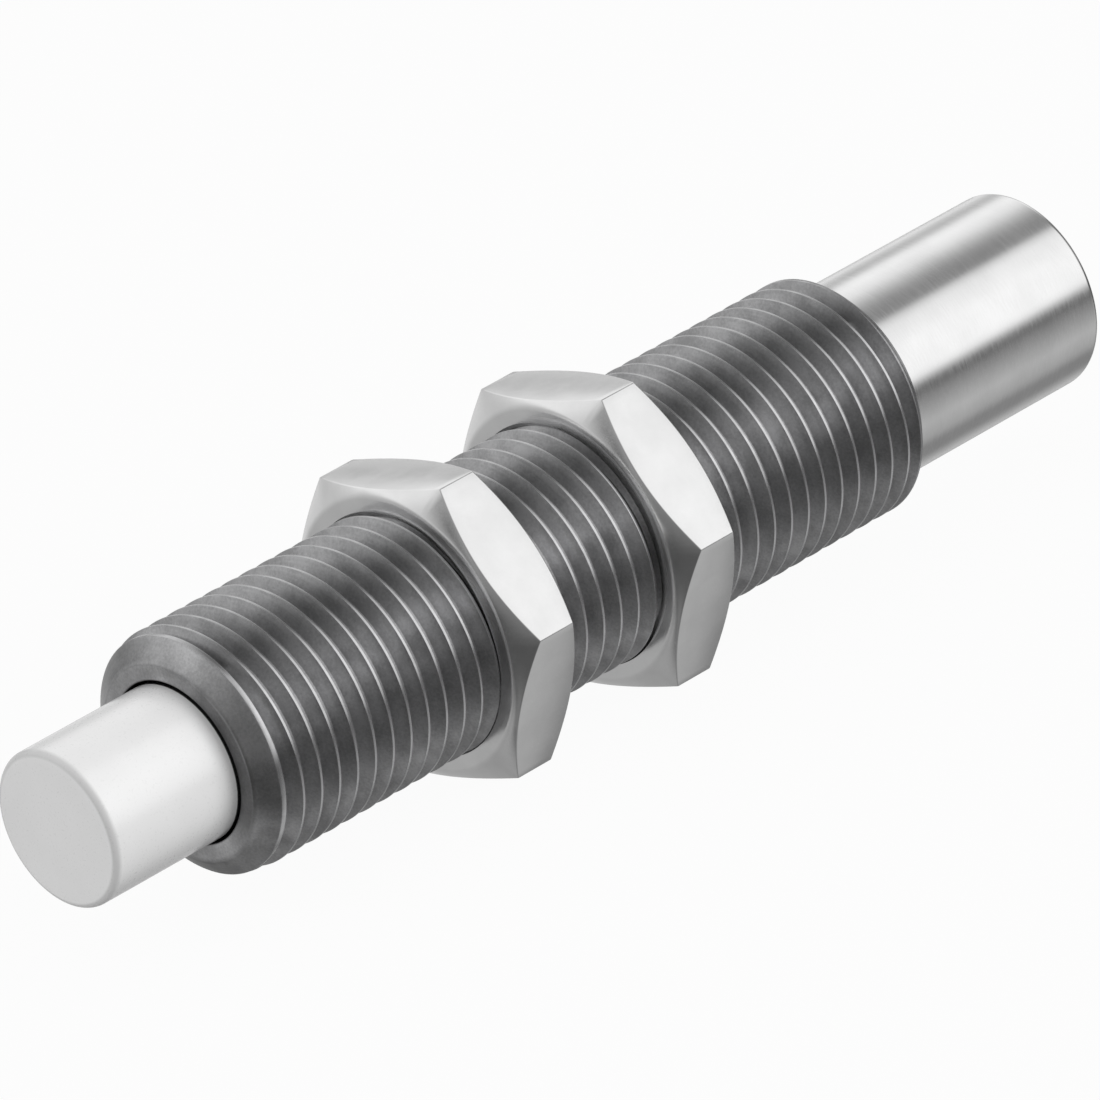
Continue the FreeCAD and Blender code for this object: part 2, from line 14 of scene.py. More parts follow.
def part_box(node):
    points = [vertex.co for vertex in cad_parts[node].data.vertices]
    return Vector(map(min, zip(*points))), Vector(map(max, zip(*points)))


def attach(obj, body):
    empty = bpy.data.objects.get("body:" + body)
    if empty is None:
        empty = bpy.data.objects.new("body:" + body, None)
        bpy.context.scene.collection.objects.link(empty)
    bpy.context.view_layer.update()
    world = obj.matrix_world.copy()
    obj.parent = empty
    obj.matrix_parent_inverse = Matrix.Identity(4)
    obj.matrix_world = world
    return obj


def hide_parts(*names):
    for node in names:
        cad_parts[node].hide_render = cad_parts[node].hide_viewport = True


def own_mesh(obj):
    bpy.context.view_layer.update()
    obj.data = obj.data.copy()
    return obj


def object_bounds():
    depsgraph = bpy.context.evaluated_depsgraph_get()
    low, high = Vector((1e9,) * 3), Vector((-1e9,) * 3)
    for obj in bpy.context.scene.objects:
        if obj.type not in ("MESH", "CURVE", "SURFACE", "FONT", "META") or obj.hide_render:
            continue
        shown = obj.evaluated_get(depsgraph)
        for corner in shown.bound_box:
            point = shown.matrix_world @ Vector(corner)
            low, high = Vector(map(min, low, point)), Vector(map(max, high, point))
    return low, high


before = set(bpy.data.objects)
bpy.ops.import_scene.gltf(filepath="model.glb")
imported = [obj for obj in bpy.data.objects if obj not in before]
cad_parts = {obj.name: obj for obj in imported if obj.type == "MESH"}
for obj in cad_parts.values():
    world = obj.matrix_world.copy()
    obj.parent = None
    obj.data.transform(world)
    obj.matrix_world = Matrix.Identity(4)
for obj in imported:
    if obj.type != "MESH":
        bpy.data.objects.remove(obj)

bl_info = {
    "name": "Industrial Shock Absorber",
    "version": (1, 0, 0),
    "blender": (4, 5, 0),
    "location": "View3D > Sidebar > Shock Absorber",
    "description": "Builds a threaded shock absorber with its lock nuts, buffer and studio",
    "category": "Object",
}

# Lengths are in metres, +X runs from the stop face to the rear, +Z is up.
MM = 0.001
AROUND = 144
WELD = 2e-6
CAD_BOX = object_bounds()


def cad_x(node, end):
    """Lowest (0) or highest (1) x of a CAD node."""
    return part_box(node)[end].x


def cad_radius(node):
    """Largest radius of a CAD node about the X axis, from its height."""
    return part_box(node)[1].z


# Adjustable sizes and colours


def size(name, description, default):
    """A length that the user can change."""
    return FloatProperty(
        name=name, description=description, default=default, min=0.0, subtype="DISTANCE",
        unit="LENGTH", precision=5
    )


def colour(name, description, default):
    """A colour that the user can change."""
    return FloatVectorProperty(
        name=name, description=description, default=default, size=3, min=0.0, max=1.0,
        subtype="COLOR"
    )


class ShockBodySizes(bpy.types.PropertyGroup):
    """Sizes of the threaded body."""

    pitch: size("Pitch", "Distance between two thread crests", 1.5 * MM)
    depth: size("Thread Depth", "Depth of the thread below its crests", 0.89 * MM)
    crest: size("Crest Width", "Width of the flat on each thread crest", 0.17 * MM)
    crest_softness: size("Crest Softness", "How far a crest's edges are rounded", 0.03 * MM)
    root_softness: size("Root Softness", "How far the thread's roots are rounded", 0.12 * MM)
    land: size("Land", "Plain strip between a bevel and the first groove", 0.17 * MM)
    land_radius: size("Land Radius", "Radius of the strip at the front", 7.76 * MM)
    bevel_length: size("Front Bevel", "Length of the bevel behind the stop face", 1.24 * MM)
    edge: size("Edge Rounding", "Rounding of the bevels' edges", 0.06 * MM)
    stop_radius: size("Stop Face Radius", "Outer radius of the flat stop face", 6.4 * MM)
    rear_bevel: size("Rear Bevel", "Size of the bevel at the thread's rear end", 0.9 * MM)
    thread_length: size("Thread Length", "Length of the thread with its bevels", 57.3 * MM)
    tail_radius: size("Tail Radius", "Radius of the smooth tail", 6.63 * MM)
    bore_radius: size("Bore Radius", "Radius of the front bore", 5.3 * MM)
    bore_end: size("Bore Depth", "Depth of the front bore", 70.2 * MM)
    port_radius: size("Port Radius", "Radius of the recess for the filling screw", 3.25 * MM)
    port_edge: size("Port Edge", "Bevel of that recess", 0.12 * MM)
    port_hole: size("Port Hole", "Radius of the hole for the screw's shank", 2.03 * MM)
    groove_gap: size("Groove Gap", "Gap round the ring in the bore's groove", 0.03 * MM)
    tail_fillet: size("Tail Fillet", "Rounding at the root of the tail", 0.2 * MM)
    tail_edge: size("Tail Edge", "Rounding of the tail's rear edge", 0.45 * MM)
    front_rise: FloatProperty(
        name="Front Rise", description="Slope by which the first crests rise behind the strip",
        default=0.8, min=0.0
    )
    phase: FloatProperty(
        name="Thread Start", description="Share of a pitch by which the thread is shifted",
        default=0.22, min=0.0, max=1.0
    )


class ShockNutSizes(bpy.types.PropertyGroup):
    """Sizes of the lock nuts."""

    flat_radius: size("Flat Radius", "Distance from the axis to a flat", 9.5 * MM)
    bevel_radius: size("Bevel Radius", "Radius of the circle where the bevel starts", 9.07 * MM)
    blend: size("Face Blend", "Half the width over which the face bends into the bevel", 0.20 * MM)
    bevel_angle: FloatProperty(
        name="Bevel Angle", description="Angle between the bevel and the nut's face",
        default=math.radians(30), subtype="ANGLE"
    )
    mouth_radius: size("Mouth Radius", "Radius of the bore's countersink at the faces", 8.07 * MM)
    thread_gap: size("Thread Gap", "Gap between the nut's thread and the body's", 0.03 * MM)
    edge: size("Edge Rounding", "Width of the rounding on the hexagon's edges", 0.07 * MM)


class ShockBufferSizes(bpy.types.PropertyGroup):
    """Sizes of the plastic buffer."""

    edge_radius: size("Edge Radius", "Rounding of the buffer's front edge", 0.45 * MM)
    rear_edge: size("Rear Edge", "Rounding of the buffer's rear edge", 0.3 * MM)
    dish: size("Dish", "How far the front face is sunk in its middle", 0.04 * MM)
    rod_gap: size("Rod Gap", "Gap round the rod", 0.01 * MM)
    rod_end_gap: size("Rod End Gap", "Gap in front of the rod", 0.1 * MM)
    mouth: size("Mouth", "Bevel at the mouth of the rod's hole", 0.2 * MM)


class ShockScrewSizes(bpy.types.PropertyGroup):
    """Sizes of the oil filling screw."""

    shank: size("Shank", "Radius of the shank", 2.0 * MM)
    socket_flat: size("Socket Flat", "Distance from the axis to a flat of the socket", 1.25 * MM)
    socket_depth: size("Socket Depth", "Depth of the socket", 1.5 * MM)
    socket_point: size("Socket Point", "Depth of the drilled point below the socket", 0.35 * MM)
    mouth: size("Socket Mouth", "How far the mouth reaches past the corners", 0.05 * MM)
    head_edge: size("Head Edge", "Bevel of the head", 0.15 * MM)
    tip: size("Tip", "Bevel of the shank's tip", 0.3 * MM)
    rounding: size("Edge Rounding", "Rounding of the edges", 0.04 * MM)


class ShockSpringSizes(bpy.types.PropertyGroup):
    """Sizes of the return spring."""

    wire: size("Wire", "Diameter of the wire", 0.5 * MM)
    coil_radius: size("Coil Radius", "Radius of the wire's centre line", 3.1 * MM)
    turns: IntProperty(name="Turns", description="Number of open turns", default=7, min=1)
    closed_turns: IntProperty(
        name="Closed Turns", description="Turns laid close at each end", default=1, min=0
    )


class ShockFinishes(bpy.types.PropertyGroup):
    """Colours of the finishes."""

    dark_steel: colour("Body Steel", "Darkened steel of the threaded body", (0.42, 0.42, 0.425))
    tail_steel: colour("Tail Steel", "Polished steel of the tail", (0.93, 0.93, 0.93))
    zinc: colour("Zinc Plating", "Bright plating of the lock nuts", (0.90, 0.90, 0.90))
    plastic: colour("Buffer Plastic", "Off-white plastic of the buffer", (0.85, 0.85, 0.85))
    chrome: colour("Rod Chrome", "Hard chrome of the piston rod", (0.78, 0.79, 0.80))
    turned_steel: colour("Turned Steel", "Bright steel of the inner pieces", (0.58, 0.58, 0.59))
    spring_steel: colour("Spring Steel", "Oiled steel of the springs", (0.20, 0.20, 0.21))
    bronze: colour("Bronze", "Bearing bronze of the rod guide", (0.62, 0.40, 0.19))
    rubber: colour("Rubber", "Black rubber of the seals", (0.022, 0.022, 0.024))
    foam: colour("Foam", "Closed-cell foam of the sleeve", (0.10, 0.11, 0.12))
    ring_plastic: colour("Ring Plastic", "Filled plastic of the piston ring", (0.09, 0.17, 0.13))


class ShockStudio(bpy.types.PropertyGroup):
    """Light and floor of the studio."""

    ambient: FloatProperty(
        name="Ambient", description="Level of the even light from all round", default=0.70, min=0.0
    )
    key_watts: FloatProperty(
        name="Key Lamp", description="Power of the large lamp on the right", default=3.7, min=0.0
    )
    fill_watts: FloatProperty(
        name="Fill Lamp", description="Power of the lamp in front of the buffer", default=1.55,
        min=0.0
    )
    top_watts: FloatProperty(
        name="Top Lamp", description="Power of the lamp above", default=0.2, min=0.0
    )
    floor_white: FloatProperty(
        name="Floor White", description="Share of plain white in the floor", default=0.955,
        min=0.0, max=1.0
    )
    focal_length: FloatProperty(
        name="Focal Length", description="Focal length of the camera in millimetres",
        default=400.87, min=1.0
    )


# Meshes


def placed(name, data):
    """Put a new object in the scene."""
    made = bpy.data.objects.new(name, data)
    bpy.context.scene.collection.objects.link(made)
    return made


def new_object(name, mesh, body, replaced):
    """Put a finished mesh in the scene on its body and the nodes it stands for."""
    piece = placed(name, mesh)
    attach(piece, body)
    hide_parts(*replaced)
    return piece


def finished_mesh(name, shape, finishes=()):
    """Weld a bmesh, turn its faces outwards and make it a mesh with its finishes."""
    bmesh.ops.remove_doubles(shape, verts=shape.verts, dist=WELD)
    bmesh.ops.dissolve_degenerate(shape, edges=shape.edges, dist=WELD / 2)
    bmesh.ops.recalc_face_normals(shape, faces=shape.faces)
    mesh = bpy.data.meshes.new(name)
    shape.to_mesh(mesh)
    shape.free()
    for wanted in finishes:
        mesh.materials.append(finish(wanted))
    return mesh


def applied(holder, name):
    """Result of an object's modifier as a plain mesh; the object and its first mesh go."""
    graph = bpy.context.evaluated_depsgraph_get()
    mesh = bpy.data.meshes.new_from_object(holder.evaluated_get(graph), depsgraph=graph)
    first = holder.data
    holder.modifiers.clear()
    bpy.data.objects.remove(holder)
    bpy.data.meshes.remove(first)
    mesh.name = name
    return mesh


def soften(mesh, angle):
    """Shade smooth, with sharp edges where faces meet at more than an angle in degrees."""
    mesh.shade_smooth()
    mesh.set_sharp_from_angle(angle=math.radians(angle))


def varied_ring(shape, places):
    """Ring of points about the X axis from (x, radius) pairs at even angles."""
    step = math.tau / len(places)
    return [
        shape.verts.new((x, radius * math.cos(k * step), radius * math.sin(k * step)))
        for k, (x, radius) in enumerate(places)
    ]


def ring_points(shape, x, radius, count=AROUND):
    """Round ring of points about the X axis."""
    return varied_ring(shape, [(x, radius)] * count)


def join_rings(shape, first, second, material=0):
    """Band of faces between two rings of the same number of points."""
    count = len(first)
    for k in range(count):
        after = (k + 1) % count
        face = shape.faces.new((first[k], first[after], second[after], second[k]))
        face.material_index = material


def fan(shape, ring, x, material=0):
    """Close a ring with a fan of faces to a point on the axis."""
    pole = shape.verts.new((x, 0, 0))
    for first, after in zip(ring, ring[1:] + ring[:1]):
        shape.faces.new((first, after, pole)).material_index = material


def lathe(shape, profile, material=0, count=AROUND, caps=False):
    """Turn a line of (x, radius) points about the X axis, with its ends closed or open."""
    rings = [ring_points(shape, x, radius, count) for x, radius in profile]
    for first, second in zip(rings, rings[1:]):
        join_rings(shape, first, second, material)
    if caps:
        fan(shape, rings[0], profile[0][0], material)
        fan(shape, rings[-1], profile[-1][0], material)


def arc(centre_x, centre_r, radius, start, end, steps):
    """Points of an arc in the (x, radius) plane, angles in degrees from +x towards +r."""
    points = []
    for k in range(steps + 1):
        angle = math.radians(start + (end - start) * k / steps)
        points.append((centre_x + radius * math.cos(angle), centre_r + radius * math.sin(angle)))
    return points


def add_mesh(shape, mesh):
    """Copy a mesh into a bmesh, all in the first material slot, and delete the mesh."""
    shape.from_mesh(mesh)
    for face in shape.faces:
        face.material_index = 0
    bpy.data.meshes.remove(mesh)


# Geometry Nodes


class NodeTree:
    """Small helper that adds linked nodes to a tree."""

    def __init__(self, tree):
        self.tree = tree
        self.column = 0

    def add(self, kind, *inputs, **settings):
        """Add a node; inputs are values, sockets or None for a default."""
        node = self.tree.nodes.new(kind)
        node.location = (self.column * 180, 0)
        self.column += 1
        for name, setting in settings.items():
            setattr(node, name, setting)
        for socket, wanted in zip(node.inputs, inputs):
            self.feed(socket, wanted)
        return node

    def feed(self, socket, wanted):
        """Link an input to a socket, or set its value."""
        if isinstance(wanted, bpy.types.NodeSocket):
            self.tree.links.new(wanted, socket)
        elif wanted is not None:
            socket.default_value = wanted

    def feed_all(self, node, wanted):
        """Feed a node's inputs by their names."""
        for name, value in wanted.items():
            self.feed(node.inputs[name], value)

    def math(self, operation, *inputs):
        """Add a math node and give its result."""
        return self.add("ShaderNodeMath", *inputs, operation=operation).outputs[0]

    def mapped(self, *inputs):
        """Map a value from one range to another, which is 0 to 1 unless it is given."""
        return self.add("ShaderNodeMapRange", *inputs).outputs[0]

    def mix(self, share, first, second, **settings):
        """Mix two colours by a share."""
        node = self.add("ShaderNodeMix", share, data_type="RGBA", **settings)
        self.feed(node.inputs[6], first)
        self.feed(node.inputs[7], second)
        return node.outputs[2]

    def parts(self, vector):
        """The three parts of a vector."""
        return self.add("ShaderNodeSeparateXYZ", vector).outputs

    def joined(self, *parts):
        """A vector from its three parts."""
        return self.add("ShaderNodeCombineXYZ", *parts).outputs[0]


def geometry_tree(name, inputs):
    """Empty Geometry Nodes tree with its node helper, its inputs and its output node."""
    tree = bpy.data.node_groups.new(name, "GeometryNodeTree")
    for kind, labels in inputs.items():
        for label in labels:
            tree.interface.new_socket(name=label, in_out="INPUT", socket_type="NodeSocket" + kind)
    tree.interface.new_socket(name="Geometry", in_out="OUTPUT", socket_type="NodeSocketGeometry")
    group_in = tree.nodes.new("NodeGroupInput")
    group_out = tree.nodes.new("NodeGroupOutput")
    group_out.location = (6000, 0)
    return NodeTree(tree), group_in.outputs, group_out


def round_axis(nodes, x, radius, angle):
    """Place at a distance from the X axis and an angle about it."""
    y = nodes.math("MULTIPLY", radius, nodes.math("COSINE", angle))
    z = nodes.math("MULTIPLY", radius, nodes.math("SINE", angle))
    return nodes.joined(x, y, z)


def end_tree(nodes, geometry, material, group_out):
    """Shade a tree's geometry smooth, make it real, paint it and give it out."""
    smooth = nodes.add("GeometryNodeSetShadeSmooth", geometry, None, True).outputs[0]
    real = nodes.add("GeometryNodeRealizeInstances", smooth).outputs[0]
    painted = nodes.add("GeometryNodeSetMaterial", real, None, material).outputs[0]
    nodes.tree.links.new(painted, group_out.inputs[0])
    return nodes.tree


def grown_mesh(tree, values, name):
    """Run a Geometry Nodes tree with the given inputs and return its result as a plain mesh."""
    holder = placed(name, bpy.data.meshes.new(name + "_seed"))
    modifier = holder.modifiers.new(name, "NODES")
    modifier.node_group = tree
    for item in tree.interface.items_tree:
        if item.item_type == "SOCKET" and item.in_out == "INPUT":
            modifier[item.identifier] = values[item.name]
    return applied(holder, name)


THREAD_INPUTS = {
    "Float": (
        "Start", "Pitch", "Crest Radius", "Depth", "Crest Width", "Crest Softness",
        "Root Softness", "Front", "Front Radius", "Front Slope", "Front Rise", "Rear",
        "Rear Radius", "Rear Slope",
    ),
    "Int": ("Turns", "Around", "Across"),
    "Material": ("Material",),
}
FLANK_ANGLE = math.radians(30)


# Where the strip's rows lie across one pitch, close together at the crest's edges.
ROW_PLACES = (0.0, 0.0367, 0.0567, 0.0767, 0.2, 0.3533, 0.42, 0.5)
ROWS = 2 * len(ROW_PLACES) - 2


def row_curve(nodes, share):
    """Move evenly spaced rows to their places across one pitch."""
    node = nodes.add("ShaderNodeFloatCurve", 1.0, share)
    curve = node.mapping.curves[0]
    places = ROW_PLACES + tuple(1 - place for place in ROW_PLACES[-2::-1])
    for number, place in enumerate(places[1:-1], start=1):
        curve.points.new(number / ROWS, place)
    for point in curve.points:
        point.handle_type = "VECTOR"
    node.mapping.update()
    return node.outputs[0]


def thread_tree():
    """Thread as one strip wound about the X axis, whose grooves end at a cone at each end."""
    nodes, given, group_out = geometry_tree("Wound Thread", THREAD_INPUTS)

    # The strip's two directions: along the helix, and across one pitch.
    along_count = nodes.math("MULTIPLY_ADD", given["Turns"], given["Around"], 1.0)
    across_count = nodes.math("ADD", given["Across"], 1.0)
    grid = nodes.add("GeometryNodeMeshGrid", 1.0, 1.0, along_count, across_count)
    place = nodes.add("GeometryNodeInputPosition").outputs[0]
    parts = nodes.parts(place)
    turned = nodes.math("MULTIPLY", nodes.math("ADD", parts[0], 0.5), given["Turns"])
    across = row_curve(nodes, nodes.math("ADD", parts[1], 0.5))
    angle = nodes.math("MULTIPLY", turned, math.tau)
    raw_x = nodes.math("MULTIPLY_ADD", nodes.math("ADD", turned, across), given["Pitch"], given["Start"])
    x = nodes.math("MINIMUM", nodes.math("MAXIMUM", raw_x, given["Front"]), given["Rear"])

    # Depth of the groove from the distance to its middle, with soft crests and roots.
    off_centre = nodes.math("ABSOLUTE", nodes.math("SUBTRACT", across, 0.5))
    distance = nodes.math("MULTIPLY", off_centre, given["Pitch"])
    half_gap = nodes.math(
        "MULTIPLY", nodes.math("SUBTRACT", given["Pitch"], given["Crest Width"]), 0.5
    )
    flank = nodes.math("DIVIDE", nodes.math("SUBTRACT", half_gap, distance), math.tan(FLANK_ANGLE))
    rooted = nodes.math("SMOOTH_MIN", flank, given["Depth"], given["Root Softness"])
    depth = nodes.math("SMOOTH_MAX", rooted, 0.0, given["Crest Softness"])
    thread_r = nodes.math("SUBTRACT", given["Crest Radius"], depth)

    def cone(low, high, slope, wanted_radius):
        """Radius that grows by a slope from one place to another."""
        run = nodes.math("SUBTRACT", high, low)
        return nodes.math("MULTIPLY_ADD", run, given[slope], given[wanted_radius])

    # Cones at both ends, which the thread never goes inside.
    front_r = cone(given["Front"], x, "Front Slope", "Front Radius")
    rear_r = cone(x, given["Rear"], "Rear Slope", "Rear Radius")
    whole = nodes.math("MAXIMUM", thread_r, nodes.math("MAXIMUM", front_r, rear_r))

    # The first crests rise from the front ring to their full height.
    risen = cone(given["Front"], x, "Front Rise", "Front Radius")
    radius = nodes.math("MINIMUM", whole, risen)
    spot = round_axis(nodes, x, radius, angle)

    # Share of the crest's height, kept for the finish to read as wear and a painted highlight, on the
    # strip while it is flat.
    below = nodes.math("SUBTRACT", given["Crest Radius"], radius)
    height = nodes.math("SUBTRACT", 1.0, nodes.math("DIVIDE", below, given["Depth"]))
    stored = nodes.add(
        "GeometryNodeStoreNamedAttribute", grid.outputs[0], None, "crest_height", height,
        data_type="FLOAT", domain="POINT",
    ).outputs[0]
    wound = nodes.add("GeometryNodeSetPosition", stored, None, spot).outputs[0]
    welded = nodes.add("GeometryNodeMergeByDistance", wound, None, WELD).outputs[0]
    return end_tree(nodes, welded, given["Material"], group_out)


SPRING_INPUTS = {
    "Float": ("Front", "Rear", "Wire Radius", "Coil Radius"),
    "Int": ("Open Turns", "Closed Turns", "Points Per Turn"),
    "Material": ("Material",),
}
# Closed turns lie this many wire diameters apart.
CLOSED_PITCH = 1.04


def spring_tree():
    """Coil spring along the X axis, wound close at both ends and open between them."""
    nodes, given, group_out = geometry_tree("Coil Spring", SPRING_INPUTS)

    # Turns in all, and how far the wire moves along the axis in each turn.
    turns = nodes.math("MULTIPLY_ADD", given["Closed Turns"], 2.0, given["Open Turns"])
    wire = nodes.math("MULTIPLY", given["Wire Radius"], 2.0)
    closed_pitch = nodes.math("MULTIPLY", wire, CLOSED_PITCH)
    closed_length = nodes.math(
        "MULTIPLY", nodes.math("MULTIPLY", given["Closed Turns"], 2.0), closed_pitch
    )
    room = nodes.math("SUBTRACT", nodes.math("SUBTRACT", given["Rear"], given["Front"]), wire)
    open_pitch = nodes.math(
        "DIVIDE", nodes.math("SUBTRACT", room, closed_length), given["Open Turns"]
    )

    line = nodes.add("GeometryNodeCurvePrimitiveLine").outputs[0]
    count = nodes.math("MULTIPLY_ADD", turns, given["Points Per Turn"], 1.0)
    path = nodes.add("GeometryNodeResampleCurve", line, None, count).outputs[0]
    factor = nodes.add("GeometryNodeSplineParameter").outputs[0]
    turned = nodes.math("MULTIPLY", factor, turns)
    front_turns = nodes.math("MINIMUM", turned, given["Closed Turns"])
    past_front = nodes.math("SUBTRACT", turned, given["Closed Turns"])
    open_turns = nodes.math(
        "MINIMUM", nodes.math("MAXIMUM", past_front, 0.0), given["Open Turns"]
    )
    rear_turns = nodes.math("MAXIMUM", nodes.math("SUBTRACT", past_front, given["Open Turns"]), 0.0)
    closed = nodes.math("MULTIPLY", nodes.math("ADD", front_turns, rear_turns), closed_pitch)
    moved = nodes.math("MULTIPLY_ADD", open_turns, open_pitch, closed)
    x = nodes.math("ADD", nodes.math("ADD", given["Front"], given["Wire Radius"]), moved)
    angle = nodes.math("MULTIPLY", turned, math.tau)
    spot = round_axis(nodes, x, given["Coil Radius"], angle)
    coil = nodes.add("GeometryNodeSetPosition", path, None, spot).outputs[0]
    section = nodes.add("GeometryNodeCurvePrimitiveCircle", 12)
    nodes.feed(section.inputs["Radius"], given["Wire Radius"])
    wound = nodes.add("GeometryNodeCurveToMesh", coil, section.outputs[0])
    nodes.feed(wound.inputs["Fill Caps"], True)
    return end_tree(nodes, wound.outputs[0], given["Material"], group_out)


# Finishes


def finish(name):
    """Material made by the finishes operator; the frame's own materials have other names."""
    return bpy.data.materials[name + "_finish"]


def start_finish(name):
    """New material with its shader, its node helper and its place in millimetres."""
    material = bpy.data.materials.new(name + "_finish")
    material.use_nodes = True
    shader = material.node_tree.nodes["Principled BSDF"]
    nodes = NodeTree(material.node_tree)
    place = nodes.add("ShaderNodeTexCoord").outputs["Object"]
    return material, shader, nodes, scaled(nodes, place, 1 / MM)


def turned_share(nodes, vector):
    """Angle of a vector about the X axis, from -Y over +Z, as a share of a turn from 0 to 1."""
    parts = nodes.parts(vector)
    angle = nodes.math("ARCTAN2", parts[2], nodes.math("MULTIPLY", parts[1], -1.0))
    return nodes.math("MULTIPLY_ADD", angle, 1 / math.tau, 0.5)


def axis_distance(nodes, parts):
    """Distance from the X axis of a place, given by its parts."""
    across = nodes.joined(0.0, parts[1], parts[2])
    return nodes.add("ShaderNodeVectorMath", across, operation="LENGTH").outputs["Value"]


def band_ramp(nodes, turned, bands):
    """Colour ramp from (degrees, level) pairs."""
    node = nodes.add("ShaderNodeValToRGB", turned)
    elements = node.color_ramp.elements
    for _ in range(len(bands) - len(elements)):
        elements.new(0.5)
    for element, (degrees, level) in zip(elements, bands):
        element.position = degrees / 360 + 0.5
        element.color = (level, level, level, 1.0)
    return node.outputs[0]


def noise(nodes, place, scale, detail=3.0, roughness=0.5):
    """Noise between 0 and 1 with a scale per millimetre."""
    texture = nodes.add("ShaderNodeTexNoise")
    wanted = {"Vector": place, "Scale": scale, "Detail": detail, "Roughness": roughness}
    nodes.feed_all(texture, wanted)
    return texture.outputs[0]


def lathe_place(nodes, in_mm, drift=0.25):
    """Coordinates that are nearly the same all round the axis, for marks left by turning."""
    parts = nodes.parts(in_mm)
    radius = axis_distance(nodes, parts)
    way = nodes.math("MULTIPLY", nodes.math("DIVIDE", parts[2], nodes.math("ADD", radius, 0.01)), drift)
    return nodes.joined(parts[0], radius, way)


def spread(nodes, value, low, high):
    """Map the middle of a noise to a range."""
    return nodes.mapped(value, 0.3, 0.7, low, high)


def scaled(nodes, vector, level):
    """A colour or vector, or a socket that gives one, times a level."""
    node = nodes.add("ShaderNodeVectorMath", vector, operation="SCALE")
    nodes.feed(node.inputs["Scale"], level)
    return node.outputs[0]


def tint(nodes, shader, base, value, low, high):
    """Vary a base colour's brightness with a value."""
    level = spread(nodes, value, low, high)
    nodes.feed(shader.inputs["Base Color"], scaled(nodes, (*base,), level))


def relief(nodes, shader, value, strength, depth):
    """Fine relief from a value, with its depth in millimetres."""
    bump = nodes.add("ShaderNodeBump")
    nodes.feed_all(bump, {"Strength": strength, "Distance": depth * MM, "Height": value})
    nodes.feed(shader.inputs["Normal"], bump.outputs[0])


# Painted light and shade on the thread's steel round the axis, as halves of the base colour.
PAINTED_LIGHT_ON_THREAD = (
    (-180, 0.50), (-150, 0.58), (-125, 0.46), (-95, 0.54), (-62, 0.49), (-50, 0.53), (-42, 0.70),
    (-35, 0.80), (-27, 0.68), (-18, 0.56), (0, 0.50), (12, 0.54), (22, 0.66), (31, 0.62),
    (42, 0.48), (55, 0.37), (70, 0.43), (85, 0.50), (105, 0.55), (130, 0.46), (155, 0.56),
    (180, 0.50),
)


# Painted light and shade on the front bevel round the axis, as halves of the base colour.
BEVEL = (
    (-180, 0.40), (-105, 0.25), (-90, 0.23), (-75, 0.38), (-60, 0.55), (-45, 0.64), (-30, 0.80),
    (-18, 0.48), (0, 0.52), (15, 0.53), (30, 0.48), (45, 0.66), (60, 0.72), (75, 0.56), (90, 0.49),
    (105, 0.41), (120, 0.29), (135, 0.30), (160, 0.42), (180, 0.40),
)


# Painted light and shade on the stop face round the axis, as halves of the base colour.
PAINTED_LIGHT_ON_STOP_FACE = (
    (-180, 0.50), (-95, 0.64), (-60, 0.86), (-35, 0.33), (0, 0.20), (30, 0.15), (48, 0.24),
    (62, 0.41), (80, 0.63), (110, 0.63), (180, 0.50),
)


# How much brighter the crests are, as wear and as a painted highlight, and how much smoother the worn
# steel is there.
CREST_WEAR_AND_HIGHLIGHT_GAIN = 1.38
RUBBED_SMOOTHING = -0.18


